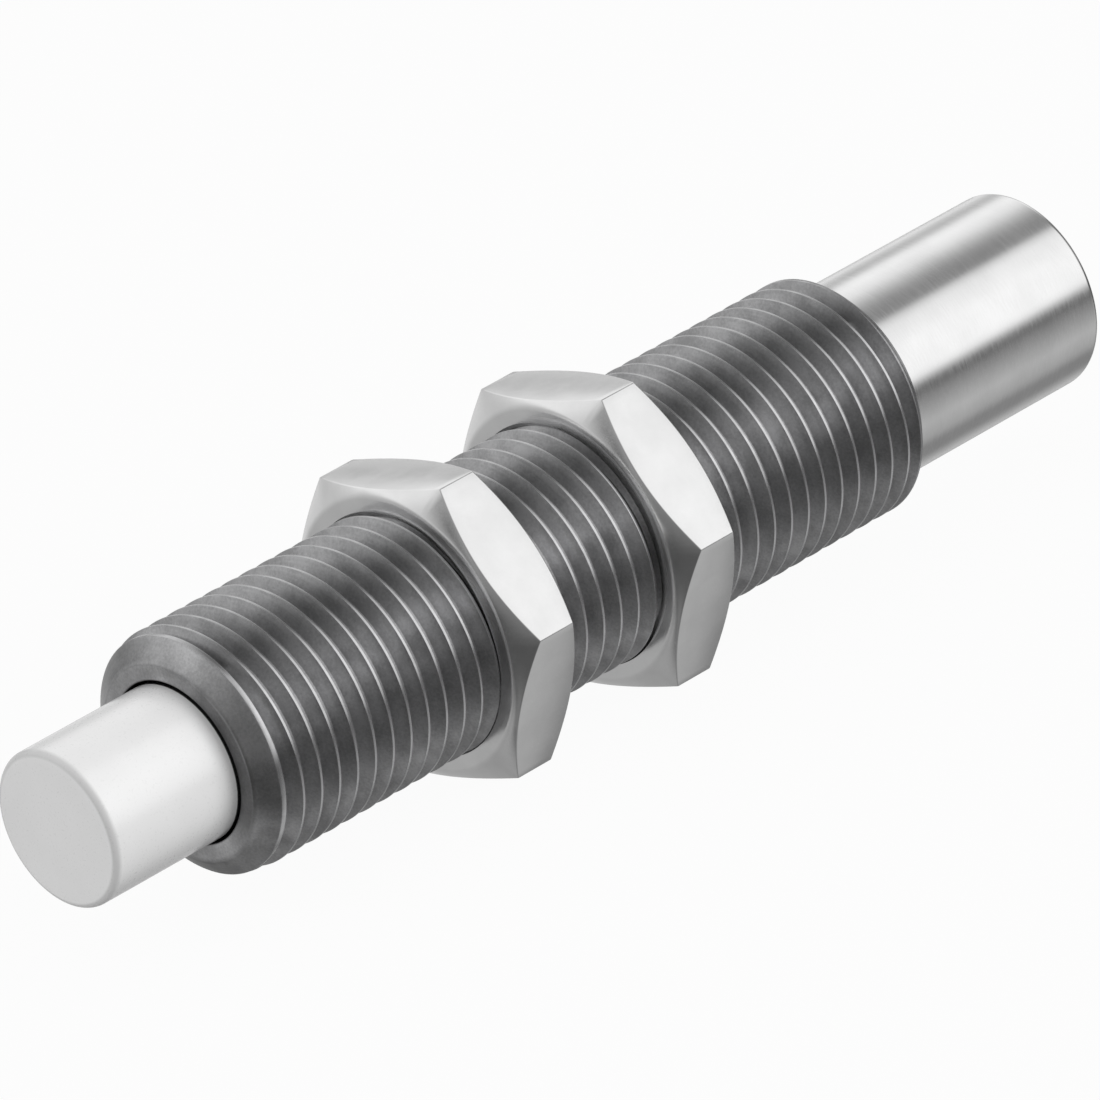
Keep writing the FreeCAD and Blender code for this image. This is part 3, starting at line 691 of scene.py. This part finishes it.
def body_steel(base, body):
    """Darkened steel with turning marks, painted light and shade round the axis and on the stop face,
    painted shade in the bore, and crests worn bright with a painted highlight.
    """
    material, shader, nodes, in_mm = start_finish("body_steel")
    marks = noise(nodes, lathe_place(nodes, in_mm), 9.0, 4.0)
    patches = noise(nodes, in_mm, 0.45)
    grain = noise(nodes, in_mm, 5.5, 5.0, 0.65)
    uneven = nodes.math("MULTIPLY_ADD", nodes.math("SUBTRACT", grain, 0.5), 0.8, patches)

    # Painted light and shade round the axis, which wanders a little; the front bevel has its own.
    place = nodes.parts(in_mm)
    radius = axis_distance(nodes, place)
    stop = body.stop_radius / MM
    bore = body.bore_radius / MM
    bevel_end = bevel_run(body) / MM
    wander = nodes.math("MULTIPLY", nodes.math("SUBTRACT", patches, 0.5), 0.03)
    turned = nodes.math("ADD", turned_share(nodes, in_mm), wander)
    thread_shading, bevel, stop_face_shading = (
        nodes.math("MULTIPLY", band_ramp(nodes, turned, bands), 2.0)
        for bands in (PAINTED_LIGHT_ON_THREAD, BEVEL, PAINTED_LIGHT_ON_STOP_FACE)
    )
    on_thread = nodes.mapped(place[0], bevel_end - 0.1, bevel_end + 0.2)
    # Painted light and shade on the front bevel.
    bevel_shading = nodes.mapped(radius, stop - 0.15, stop + 0.2, 1.0, bevel)
    painted_shading = nodes.mapped(on_thread, 0.0, 1.0, bevel_shading, thread_shading)

    # Painted light and shade on the stop face, and painted shade inside the bore.
    stop_face_painted = nodes.mapped(radius, stop - 0.15, stop + 0.2, stop_face_shading, 1.0)
    # Painted shade inside the bore.
    inside = nodes.mapped(radius, bore, bore + 0.14, 0.08, 1.0)
    tone = nodes.math("MULTIPLY", painted_shading, nodes.math("MULTIPLY", stop_face_painted, inside))

    # Crests worn bright and painted as a bright highlight, broken up by noise.
    crest = nodes.add("ShaderNodeAttribute", attribute_name="crest_height").outputs["Fac"]
    crest_breakup = noise(nodes, in_mm, 1.7, 4.0)
    crest_wear_and_highlight = nodes.math("MULTIPLY", nodes.mapped(crest, 0.98, 1.0), spread(nodes, crest_breakup, 0.6, 1.0))
    dark = scaled(nodes, (*base,), spread(nodes, uneven, 0.80, 1.20))
    bright = (*(CREST_WEAR_AND_HIGHLIGHT_GAIN * part for part in base), 1.0)
    worn = nodes.math("MULTIPLY", crest_wear_and_highlight, RUBBED_SMOOTHING)
    nodes.feed_all(shader, {
        "Base Color": scaled(nodes, nodes.mix(crest_wear_and_highlight, dark, bright), tone),
        "Roughness": nodes.math("ADD", spread(nodes, marks, 0.34, 0.44), worn),
        "Metallic": 1.0,
    })
    relief(nodes, shader, marks, 0.25, 0.012)
    return material


def polished_steel(base):
    """Ground and polished steel with faint marks that run round the tail."""
    material, shader, nodes, in_mm = start_finish("polished_steel")
    marks = noise(nodes, lathe_place(nodes, in_mm, 0.6), 14.0, 5.0)
    patches = noise(nodes, in_mm, 0.35, 2.0)
    brushed = nodes.math("MULTIPLY_ADD", nodes.math("SUBTRACT", marks, 0.5), 0.9, patches)
    tint(nodes, shader, base, brushed, 0.95, 1.02)
    nodes.feed_all(shader, {"Roughness": spread(nodes, marks, 0.11, 0.20), "Metallic": 1.0})
    relief(nodes, shader, marks, 0.22, 0.004)
    return material


def zinc_plating(base):
    """Bright plating with a fine satin grain."""
    material, shader, nodes, in_mm = start_finish("zinc_plating")
    grain = noise(nodes, in_mm, 11.0, 4.0, 0.6)
    cloud = noise(nodes, in_mm, 0.5)
    marks = noise(nodes, lathe_place(nodes, in_mm, 0.4), 7.0)
    tint(nodes, shader, base, cloud, 0.95, 1.03)
    rough = nodes.math("ADD", spread(nodes, grain, 0.15, 0.25), spread(nodes, cloud, -0.02, 0.03))
    nodes.feed_all(shader, {"Roughness": rough, "Metallic": 1.0})
    relief(nodes, shader, nodes.math("MULTIPLY_ADD", marks, 0.6, grain), 0.12, 0.004)
    return material


# Where the buffer turns from unshaded to painted shade inside the bore, in millimetres from the stop
# face.
BORE_SHADE_FROM = -0.09
BORE_SHADE_TO = -0.03


def buffer_plastic(base, sizes):
    """Off-white moulded plastic, with painted shade round its front edge and inside the bore."""
    material, shader, nodes, in_mm = start_finish("buffer_plastic")
    skin = noise(nodes, in_mm, 6.0)
    cloud = noise(nodes, in_mm, 0.25, 2.0)
    front = cad_x("buffer_cap", 0) / MM
    edge = sizes.edge_radius / MM
    flat = cad_radius("buffer_cap") / MM - edge
    parts = nodes.parts(in_mm)
    # Painted shade on the rounding of the front edge.
    outer = nodes.mapped(axis_distance(nodes, parts), flat, flat + edge * 0.35)
    fore = nodes.mapped(parts[0], front + edge * 0.5, front + edge * 1.1, 1.0, 0.0)
    painted_edge_shade = nodes.math("MULTIPLY", nodes.math("MULTIPLY", outer, fore), 0.24)
    # Painted shade on the part inside the bore.
    bore_shade_factor = nodes.mapped(parts[0], BORE_SHADE_FROM, BORE_SHADE_TO, 1.0, 0.02)
    level = nodes.math("SUBTRACT", spread(nodes, cloud, 0.975, 1.01), painted_edge_shade)
    nodes.feed_all(shader, {
        "Base Color": scaled(nodes, (*base,), nodes.math("MULTIPLY", level, bore_shade_factor)),
        "Roughness": spread(nodes, skin, 0.26, 0.34),
        "Coat Weight": 0.8,
        "Coat Roughness": 0.16,
        "Coat IOR": 1.7,
        "Subsurface Weight": 0.12,
        "Subsurface Radius": (1.0, 1.0, 1.0),
        "Subsurface Scale": 0.6 * MM,
        "IOR": 1.5,
    })
    relief(nodes, shader, skin, 0.03, 0.008)
    return material


def turned_metal(name, base, rough_low, rough_high, scale):
    """Plain metal with turning marks and light stains."""
    material, shader, nodes, in_mm = start_finish(name)
    marks = noise(nodes, lathe_place(nodes, in_mm), scale, 4.0)
    patches = noise(nodes, in_mm, 0.6)
    tint(nodes, shader, base, patches, 0.88, 1.08)
    rough = spread(nodes, marks, rough_low, rough_high)
    nodes.feed_all(shader, {"Roughness": rough, "Metallic": 1.0})
    relief(nodes, shader, marks, 0.2, 0.008)
    return material


def soft_solid(name, base, rough_low, rough_high, scale, depth):
    """Rubber, foam or filled plastic with a grained surface."""
    material, shader, nodes, in_mm = start_finish(name)
    grain = noise(nodes, in_mm, scale, 4.0, 0.6)
    patches = noise(nodes, in_mm, 0.5, 2.0)
    tint(nodes, shader, base, patches, 0.85, 1.15)
    nodes.feed(shader.inputs["Roughness"], spread(nodes, grain, rough_low, rough_high))
    relief(nodes, shader, grain, 0.4, depth)
    return material


# Finish, colour, lowest and highest roughness, and scale of the turning marks.
TURNED_METALS = (
    ("rod_chrome", "chrome", 0.06, 0.12, 14.0),
    ("turned_steel", "turned_steel", 0.25, 0.4, 9.0),
    ("spring_steel", "spring_steel", 0.3, 0.42, 9.0),
    ("bearing_bronze", "bronze", 0.28, 0.42, 9.0),
)
# Finish, colour, lowest and highest roughness, and scale and depth of the grain.
SOFT_SOLIDS = (
    ("seal_rubber", "rubber", 0.55, 0.7, 8.0, 0.01),
    ("sleeve_foam", "foam", 0.8, 0.95, 5.0, 0.06),
    ("ring_plastic", "ring_plastic", 0.4, 0.55, 7.0, 0.01),
)
# Finish of each inner piece that keeps the mesh of its solid.
CARRIED_FINISHES = {
    "piston_rod": "rod_chrome",
    "retaining_ring": "spring_steel",
    "cover_washer": "turned_steel",
    "rod_guide": "bearing_bronze",
    "rod_wiper": "seal_rubber",
    "guide_seal_ring": "seal_rubber",
    "rod_seal": "seal_rubber",
    "accumulator_foam": "sleeve_foam",
    "pressure_tube": "turned_steel",
    "piston": "turned_steel",
    "piston_ring": "ring_plastic",
    "check_valve_disc": "spring_steel",
    "piston_nut": "turned_steel",
    "tube_end_plug": "turned_steel",
    "fill_plug_seal": "seal_rubber",
}


class SHOCK_OT_finishes(bpy.types.Operator):
    """Make every finish and give the inner CAD pieces theirs"""

    bl_idname = "shock.finishes"
    bl_label = "Finishes"

    def execute(self, context):
        colours = context.scene.shock_finishes
        body_steel(colours.dark_steel, context.scene.shock_body)
        polished_steel(colours.tail_steel)
        zinc_plating(colours.zinc)
        buffer_plastic(colours.plastic, context.scene.shock_buffer)
        for build, rows in ((turned_metal, TURNED_METALS), (soft_solid, SOFT_SOLIDS)):
            for name, wanted, *numbers in rows:
                build(name, getattr(colours, wanted), *numbers)
        for node, wanted in CARRIED_FINISHES.items():
            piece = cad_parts[node]
            for slot in piece.material_slots:
                slot.material = finish(wanted)
        return {"FINISHED"}


# Pieces

BODY_AROUND = 128
FLANK_SLOPE = 1 / math.tan(FLANK_ANGLE)


def bevel_run(body):
    """Length of the front bevel up to the land, which lies a little inside the crests."""
    full_rise = cad_radius("threaded_housing") - body.stop_radius
    return body.bevel_length * (body.land_radius - body.stop_radius) / full_rise


def thread_start(body):
    """Where the thread's strip starts, at least a pitch in front of the stop face."""
    return body.pitch * (body.phase - 2)


def thread_mesh(body, name, values):
    """Wound thread from the sizes that the body and its nuts share and from its own values."""
    shared = {
        "Pitch": body.pitch,
        "Depth": body.depth,
        "Crest Width": body.crest,
        "Crest Softness": body.crest_softness,
        "Root Softness": body.root_softness,
        "Across": ROWS,
    }
    tree = bpy.data.node_groups.get("Wound Thread") or thread_tree()
    return grown_mesh(tree, {**shared, **values}, name)


class SHOCK_OT_threaded_housing(bpy.types.Operator):
    """Threaded body with its bevels, bore, smooth tail and rear port"""

    bl_idname = "shock.threaded_housing"
    bl_label = "Threaded Housing"

    def execute(self, context):
        body = context.scene.shock_body
        crest_radius = cad_radius("threaded_housing")
        front = body.bevel_length + body.land
        rear = body.thread_length - body.rear_bevel - body.land
        start = thread_start(body)
        wound = thread_mesh(body, "housing_thread", {
            "Start": start,
            "Turns": math.ceil((rear - start) / body.pitch) + 1,
            "Crest Radius": crest_radius,
            "Front": front,
            "Front Radius": body.land_radius,
            "Front Slope": -FLANK_SLOPE,
            "Front Rise": body.front_rise,
            "Rear": rear,
            "Rear Radius": crest_radius,
            "Rear Slope": -FLANK_SLOPE,
            "Around": BODY_AROUND,
            "Material": finish("body_steel"),
        })
        shape = bmesh.new()
        add_mesh(shape, wound)
        self.add_front(shape, body, front)
        self.add_bore(shape, body)
        self.add_tail(shape, body, rear, crest_radius)
        # The land is marked at full crest height, so its finish paints a bright ring: wear and a painted
        # highlight.
        crest_height = shape.verts.layers.float["crest_height"]
        for point in shape.verts:
            if point.co.x < front + WELD and point.co.yz.length > body.land_radius - body.edge / 4:
                point[crest_height] = 1.0
        mesh = finished_mesh("housing_body", shape, ["body_steel", "polished_steel"])
        soften(mesh, 38)
        new_object("housing_body", mesh, "housing", ["threaded_housing"])
        return {"FINISHED"}

    def add_front(self, shape, body, front):
        """Bevel from the stop face to the land, with softly rounded edges."""
        edge = body.edge
        run = bevel_run(body)
        rise = body.land_radius - body.stop_radius
        slant = math.hypot(rise, run)
        lathe(shape, [
            (0.0, body.stop_radius - edge),
            (edge * run / slant, body.stop_radius + edge * rise / slant),
            (run * 0.35, body.stop_radius + rise * 0.35),
            (run * 0.7, body.stop_radius + rise * 0.7),
            (run - edge * run / slant, body.land_radius - edge * rise / slant),
            (run + edge * 0.4, body.land_radius),
            (front, body.land_radius),
        ], count=BODY_AROUND)

    def add_bore(self, shape, body):
        """Stop face, bore with the ring's groove, and the port in the rear wall."""
        ring_front, ring_rear = (cad_x("retaining_ring", end) for end in (0, 1))
        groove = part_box("retaining_ring")[1].y + body.groove_gap
        mouth = body.edge
        screw = cad_x("fill_plug", 0)
        seat = cad_x("fill_plug_seal", 0)
        end = cad_x("threaded_housing", 1)
        lathe(shape, [
            (0.0, body.stop_radius - body.edge),
            (0.0, body.bore_radius + mouth),
            (mouth, body.bore_radius),
            (ring_front, body.bore_radius),
            (ring_front, groove),
            (ring_rear, groove),
            (ring_rear, body.bore_radius),
            (body.bore_end, body.bore_radius),
            (body.bore_end, body.port_hole),
            (seat, body.port_hole),
            (seat, body.port_radius),
            (end - body.port_edge, body.port_radius),
            (end, body.port_radius + body.port_edge),
        ], count=BODY_AROUND)
        if not body.bore_end < screw < seat < end:
            raise RuntimeError("the rear port lies outside the rear wall")

    def add_tail(self, shape, body, rear, crest_radius):
        """Rear bevel of the thread, and the smooth tail behind it."""
        end = cad_x("threaded_housing", 1)
        shoulder = body.thread_length
        tail = body.tail_radius
        fillet, edge = body.tail_fillet, body.tail_edge
        foot = crest_radius - body.rear_bevel
        root = arc(shoulder + fillet, tail + fillet, fillet, 180, 270, 6)
        lathe(shape, [
            (rear, crest_radius),
            (shoulder - body.rear_bevel - body.edge * 0.4, crest_radius),
            (shoulder - body.rear_bevel + body.edge, crest_radius - body.edge),
            (shoulder - body.edge, foot + body.edge),
            (shoulder, foot - body.edge),
        ] + root, count=BODY_AROUND)
        rounded = arc(end - edge, tail - edge, edge, 90, 0, 6)
        port = body.port_radius + body.port_edge
        lathe(shape, [root[-1]] + rounded + [(end, port)], material=1, count=BODY_AROUND)


def hexagon_radius(angle, flat_radius):
    """Distance from the axis to a hexagon with flats above and below, at an angle from +Y."""
    sixth = math.tau / 6
    return flat_radius / math.cos(angle % sixth - sixth / 2)


def bevelled(mesh, name, width, angle):
    """Round a mesh's sharp edges and give the result as a plain mesh."""
    holder = placed(name, mesh)
    modifier = holder.modifiers.new("rounding", "BEVEL")
    modifier.limit_method = "ANGLE"
    modifier.angle_limit = math.radians(angle)
    modifier.width = width
    modifier.segments = 2
    return applied(holder, name)


class SHOCK_OT_lock_nuts(bpy.types.Operator):
    """Both hexagon nuts, bevelled outside and threaded inside"""

    bl_idname = "shock.lock_nuts"
    bl_label = "Lock Nuts"

    def execute(self, context):
        for node, body in (("front_lock_nut", "front_nut"), ("rear_lock_nut", "rear_nut")):
            shape = bmesh.new()
            add_mesh(shape, self.outside(context, node))
            add_mesh(shape, self.inside(context, node))
            mesh = finished_mesh(node + "_dressed", shape, ["zinc_plating"])
            soften(mesh, 35)
            new_object(node + "_dressed", mesh, body, [node])
        return {"FINISHED"}

    def outside(self, context, node):
        """Hexagon with bevelled faces and softly rounded edges, open at the bore's mouths."""
        nut = context.scene.shock_nut
        front, rear = cad_x(node, 0), cad_x(node, 1)
        slope = math.tan(nut.bevel_angle)
        radii = [hexagon_radius(k * math.tau / AROUND, nut.flat_radius) for k in range(AROUND)]
        drops = [slope * (radius - nut.bevel_radius) for radius in radii]
        blended = self.face_blend(nut, slope)
        shape = bmesh.new()
        rings = [ring_points(shape, front + drop, radius) for drop, radius in blended]
        rings += [
            varied_ring(shape, [(front + drop, radius) for radius, drop in zip(radii, drops)]),
            varied_ring(shape, [(rear - drop, radius) for radius, drop in zip(radii, drops)]),
        ]
        rings += [ring_points(shape, rear - drop, radius) for drop, radius in reversed(blended)]
        for first, second in zip(rings, rings[1:]):
            join_rings(shape, first, second)
        mesh = finished_mesh(node + "_outside", shape)
        return bevelled(mesh, node + "_outside", nut.edge, 22)

    def face_blend(self, nut, slope):
        """Drops and radii of the face from the bore's mouth to where the bevel is straight."""
        start = nut.bevel_radius - nut.blend
        points = [(0.0, nut.mouth_radius)]
        for step in range(9):
            share = step / 4
            points.append((slope * nut.blend * share * share / 4, start + nut.blend * share))
        return points

    def inside(self, context, node):
        """Thread that meshes with the body's, countersunk at both faces."""
        body, nut = context.scene.shock_body, context.scene.shock_nut
        front, rear = cad_x(node, 0), cad_x(node, 1)
        start = thread_start(body)
        start += body.pitch * math.floor((front - body.pitch - start) / body.pitch)
        return thread_mesh(body, node + "_inside", {
            "Start": start,
            "Turns": math.ceil((rear - start) / body.pitch) + 1,
            "Crest Radius": cad_radius("threaded_housing") + nut.thread_gap,
            "Front": front,
            "Front Radius": nut.mouth_radius,
            "Front Slope": -1.0,
            "Front Rise": 0.0,
            "Rear": rear,
            "Rear Radius": nut.mouth_radius,
            "Rear Slope": -1.0,
            "Around": AROUND,
            "Material": finish("zinc_plating"),
        })


class SHOCK_OT_buffer_cap(bpy.types.Operator):
    """Plastic buffer with a rounded front edge"""

    bl_idname = "shock.buffer_cap"
    bl_label = "Buffer"

    def execute(self, context):
        sizes = context.scene.shock_buffer
        front, rear = cad_x("buffer_cap", 0), cad_x("buffer_cap", 1)
        radius = cad_radius("buffer_cap")
        edge, rear_edge = sizes.edge_radius, sizes.rear_edge
        flat = radius - edge
        hole = cad_radius("piston_rod") + sizes.rod_gap
        floor = cad_x("piston_rod", 0) - sizes.rod_end_gap
        face = [
            (front + sizes.dish * (1 - share * share), flat * share)
            for share in (0.02, 0.2, 0.4, 0.6, 0.8, 0.9)
        ]
        front_edge = arc(front + edge, flat, edge, 180, 90, 10)
        back_edge = arc(rear - rear_edge, radius - rear_edge, rear_edge, 90, 0, 5)
        inside = [(rear, hole + sizes.mouth), (rear - sizes.mouth, hole), (floor, hole)]
        shape = bmesh.new()
        lathe(shape, face + front_edge + back_edge + inside, caps=True)
        mesh = finished_mesh("buffer", shape, ["buffer_plastic"])
        soften(mesh, 35)
        new_object("buffer", mesh, "plunger", ["buffer_cap"])
        return {"FINISHED"}


class SHOCK_OT_fill_plug(bpy.types.Operator):
    """Oil filling screw with a hexagon socket, whose darker steel finish inside is painted shade"""

    bl_idname = "shock.fill_plug"
    bl_label = "Fill Plug"

    def execute(self, context):
        sizes = context.scene.shock_screw
        inner, outer = cad_x("fill_plug", 0), cad_x("fill_plug", 1)
        head = cad_radius("fill_plug")
        shoulder = cad_x("fill_plug_seal", 1)
        shank, edge, tip = sizes.shank, sizes.head_edge, sizes.tip
        bottom = outer - sizes.socket_depth
        radii = [hexagon_radius(k * math.tau / AROUND, sizes.socket_flat) for k in range(AROUND)]
        mouth = max(radii) + sizes.mouth
        shape = bmesh.new()
        socket = [
            varied_ring(shape, [(bottom, radius) for radius in radii]),
            varied_ring(shape, [(outer - (mouth - radius) * 0.6, radius) for radius in radii]),
        ]
        turned = [
            (outer, mouth), (outer, head - edge), (outer - edge, head), (shoulder, head),
            (shoulder, shank), (inner + tip, shank), (inner, shank - tip),
        ]
        rings = socket[1:] + [ring_points(shape, x, radius) for x, radius in turned]
        # The socket takes the darker steel finish as painted shade in the recess.
        join_rings(shape, *socket, material=1)
        for first, second in zip(rings, rings[1:]):
            join_rings(shape, first, second)
        fan(shape, socket[0], bottom - sizes.socket_point, material=1)
        shape.faces.new(rings[-1])
        mesh = finished_mesh("fill_screw", shape, ["zinc_plating", "spring_steel"])
        mesh = bevelled(mesh, "fill_screw", sizes.rounding, 30)
        soften(mesh, 35)
        new_object("fill_screw", mesh, "housing", ["fill_plug"])
        return {"FINISHED"}


class SHOCK_OT_return_spring(bpy.types.Operator):
    """Round-wire return spring, pressed together as the plunger moves in"""
    # Round-wire return spring

    bl_idname = "shock.return_spring"
    bl_label = "Return Spring"

    def execute(self, context):
        sizes = context.scene.shock_spring
        front, rear = cad_x("return_spring", 0), cad_x("return_spring", 1)
        mesh = grown_mesh(spring_tree(), {
            "Front": front,
            "Rear": rear,
            "Wire Radius": sizes.wire / 2,
            "Coil Radius": sizes.coil_radius,
            "Open Turns": sizes.turns,
            "Closed Turns": sizes.closed_turns,
            "Points Per Turn": 48,
            "Material": finish("spring_steel"),
        }, "coil_spring")
        spring = new_object("coil_spring", mesh, "housing", ["return_spring"])
        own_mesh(spring)
        return {"FINISHED"}


# Studio

# Brightness of what polished metal shows at an angle about the X axis, in degrees from -Y over +Z.
BEHIND = (
    (-180, 0.80), (-160, 0.65), (-141, 0.52), (-114, 0.23), (-98, 0.22), (-85, 0.37), (-64, 0.46),
    (-47, 0.35), (-31, 0.23), (-23, 0.14), (-17, 0.20), (-12, 0.50), (-6, 0.92), (0, 1.0),
    (33, 1.0), (47, 0.93), (60, 0.87), (67, 0.70), (74, 0.26), (84, 0.25), (93, 0.30), (101, 0.42),
    (110, 0.61), (120, 0.82), (135, 0.95), (144, 0.88), (152, 0.60), (160, 0.48), (170, 0.60),
    (180, 0.80),
)
IN_FRONT = (
    (-180, 0.50), (-160, 0.42), (-138, 0.36), (-120, 0.32), (-107, 0.36), (-102, 0.28),
    (-96, 0.12), (-84, 0.21), (-70, 0.09), (-60, 0.08), (-40, 0.11), (0, 0.18), (45, 0.25),
    (70, 0.36), (85, 0.50), (109, 0.80), (120, 0.82), (135, 0.86), (146, 0.94), (155, 0.70),
    (165, 0.56), (180, 0.50),
)
AHEAD = (
    (-180, 0.10), (-140, 0.08), (-64, 0.07), (-44, 0.10), (0, 0.19), (45, 0.25), (66, 0.33),
    (85, 0.18), (100, 0.14), (116, 0.31), (128, 0.42), (140, 0.62), (160, 0.35), (180, 0.10),
)


# Where one set of bands gives way to the next, by the direction's part along the X axis.
AHEAD_SPAN = (-0.90, -0.72)
BEHIND_SPAN = (-0.45, 0.35)
DARK_SPAN = (0.82, 0.93)
DARK_LEVEL = 0.25
WHITE = (1.0, 1.0, 1.0, 1.0)


def seen_share(nodes):
    """1 for what the camera sees, also mirrored, and 0 for what only gives light; and mirrored."""
    path = nodes.add("ShaderNodeLightPath").outputs
    glossy = path["Is Glossy Ray"]
    seen = nodes.math("MAXIMUM", path["Is Camera Ray"], glossy)
    return nodes.math("MAXIMUM", seen, path["Is Transmission Ray"]), glossy


def studio_world(studio):
    """Even light, a white background, and the studio's bright and dark sides in the metal."""
    world = bpy.data.worlds.new("studio")
    world.use_nodes = True
    world.cycles.sampling_method = "NONE"
    nodes = NodeTree(world.node_tree)
    way = nodes.add("ShaderNodeTexCoord").outputs["Generated"]
    along = nodes.parts(way)[0]
    turned = turned_share(nodes, way)
    ahead, in_front, behind = (
        band_ramp(nodes, turned, bands) for bands in (AHEAD, IN_FRONT, BEHIND)
    )

    # The nuts show each other the dark that lies straight behind the object.
    behind = scaled(nodes, behind, nodes.mapped(along, *DARK_SPAN, 1.0, DARK_LEVEL))
    near = nodes.mix(nodes.mapped(along, *AHEAD_SPAN), ahead, in_front)
    bands = nodes.mix(nodes.mapped(along, *BEHIND_SPAN), near, behind)
    seen, glossy = seen_share(nodes)
    white = nodes.mix(seen, (*(studio.ambient,) * 3, 1.0), WHITE)
    shaded = nodes.mix(glossy, white, bands, blend_type="MULTIPLY")
    nodes.feed(world.node_tree.nodes["Background"].inputs["Color"], shaded)
    bpy.context.scene.world = world


def floor_finish(studio):
    """Pale floor that looks white to the camera and still takes a soft shadow."""
    material = bpy.data.materials.new("studio_floor")
    material.use_nodes = True
    nodes = NodeTree(material.node_tree)
    shader = material.node_tree.nodes["Principled BSDF"]
    grey = (0.55, 0.55, 0.55, 1.0)
    nodes.feed_all(shader, {"Base Color": grey, "Roughness": 0.9, "Specular IOR Level": 0.0})
    white = nodes.add("ShaderNodeEmission", WHITE, 1.0).outputs[0]
    share = nodes.math("MULTIPLY", seen_share(nodes)[0], studio.floor_white)
    mixed = nodes.add("ShaderNodeMixShader", share, shader.outputs[0], white).outputs[0]
    nodes.feed(material.node_tree.nodes["Material Output"].inputs["Surface"], mixed)
    return material


# Name, place, power and width of each lamp, and the place that all of them look at.
LAMPS = (
    ("key_lamp", (0.45, -0.76, 0.26), "key_watts", 0.5),
    ("fill_lamp", (-0.85, -0.22, 0.12), "fill_watts", 0.4),
    ("top_lamp", (0.0, 0.35, 0.85), "top_watts", 0.6),
)
LAMP_TARGET = Vector((0.03, 0.0, 0.0))
FLOOR_HALF = 3.0
CAMERA_PLACE = Vector((-0.41472, -0.55176, 0.23331))
CAMERA_RIGHT = Vector((0.6994, -0.6705, -0.2475))
CAMERA_FORWARD = Vector((0.5976, 0.7386, -0.3120))


def area_lamp(name, place, watts, width):
    """Large soft lamp that looks at the object and doesn't show in the metal."""
    light = bpy.data.lights.new(name, "AREA")
    light.energy = watts
    light.size = width
    lamp = placed(name, light)
    way = (Vector(place) - LAMP_TARGET).to_track_quat("Z", "Y")
    lamp.matrix_world = Matrix.Translation(place) @ way.to_matrix().to_4x4()
    lamp.visible_glossy = False


class SHOCK_OT_studio(bpy.types.Operator):
    """White floor, soft lamps, studio light and camera"""

    bl_idname = "shock.studio"
    bl_label = "Studio"

    def execute(self, context):
        studio = context.scene.shock_studio
        low, half = CAD_BOX[0][2], FLOOR_HALF
        mesh = bpy.data.meshes.new("floor")
        corners = [(-half, -half, low), (half, -half, low), (half, half, low), (-half, half, low)]
        mesh.from_pydata(corners, [], [(0, 1, 2, 3)])
        mesh.materials.append(floor_finish(studio))
        floor = placed("floor", mesh)
        floor.visible_glossy = False
        studio_world(studio)
        for name, place, watts, width in LAMPS:
            area_lamp(name, place, getattr(studio, watts), width)
        self.add_camera(studio)
        context.scene.view_settings.view_transform = "Standard"
        return {"FINISHED"}

    def add_camera(self, studio):
        """Long lens above the front left of the object, rolled as the photograph is."""
        lens = bpy.data.cameras.new("camera")
        lens.lens = studio.focal_length
        lens.sensor_width = 36.0
        lens.sensor_fit = "HORIZONTAL"
        lens.clip_start = 0.01
        lens.clip_end = 20.0
        camera = placed("camera", lens)
        right = CAMERA_RIGHT.normalized()
        forward = CAMERA_FORWARD.normalized()
        up = right.cross(forward).normalized()
        right = forward.cross(up)
        camera.matrix_world = Matrix.Translation(CAMERA_PLACE) @ Matrix(
            (right, up, -forward)
        ).transposed().to_4x4()
        bpy.context.scene.camera = camera


class SHOCK_PT_panel(bpy.types.Panel):
    """Lists the pieces and their sizes"""

    bl_idname = "SHOCK_PT_panel"
    bl_label = "Shock Absorber"
    bl_space_type = "VIEW_3D"
    bl_region_type = "UI"
    bl_category = "Shock Absorber"

    def draw(self, context):
        layout = self.layout
        for operator in OPERATORS:
            layout.operator(operator.bl_idname)
        for group in GROUPS:
            box = layout.box()
            box.label(text=group.bl_rna.description or group.__name__)
            values = getattr(context.scene, GROUPS[group])
            for name in group.__annotations__:
                box.prop(values, name)


OPERATORS = (
    SHOCK_OT_finishes,
    SHOCK_OT_threaded_housing,
    SHOCK_OT_lock_nuts,
    SHOCK_OT_buffer_cap,
    SHOCK_OT_fill_plug,
    SHOCK_OT_return_spring,
    SHOCK_OT_studio,
)
GROUPS = {
    ShockBodySizes: "shock_body",
    ShockNutSizes: "shock_nut",
    ShockBufferSizes: "shock_buffer",
    ShockScrewSizes: "shock_screw",
    ShockSpringSizes: "shock_spring",
    ShockFinishes: "shock_finishes",
    ShockStudio: "shock_studio",
}


def register():
    for item in (*GROUPS, *OPERATORS, SHOCK_PT_panel):
        bpy.utils.register_class(item)
    for group, name in GROUPS.items():
        setattr(bpy.types.Scene, name, PointerProperty(type=group))


def unregister():
    for name in GROUPS.values():
        delattr(bpy.types.Scene, name)
    for item in reversed((*GROUPS, *OPERATORS, SHOCK_PT_panel)):
        bpy.utils.unregister_class(item)


def main():
    """Build every piece and the studio."""
    register()
    bpy.ops.shock.finishes()
    bpy.ops.shock.threaded_housing()
    bpy.ops.shock.lock_nuts()
    bpy.ops.shock.buffer_cap()
    bpy.ops.shock.fill_plug()
    bpy.ops.shock.return_spring()
    bpy.ops.shock.studio()


if __name__ == "__main__":
    main()
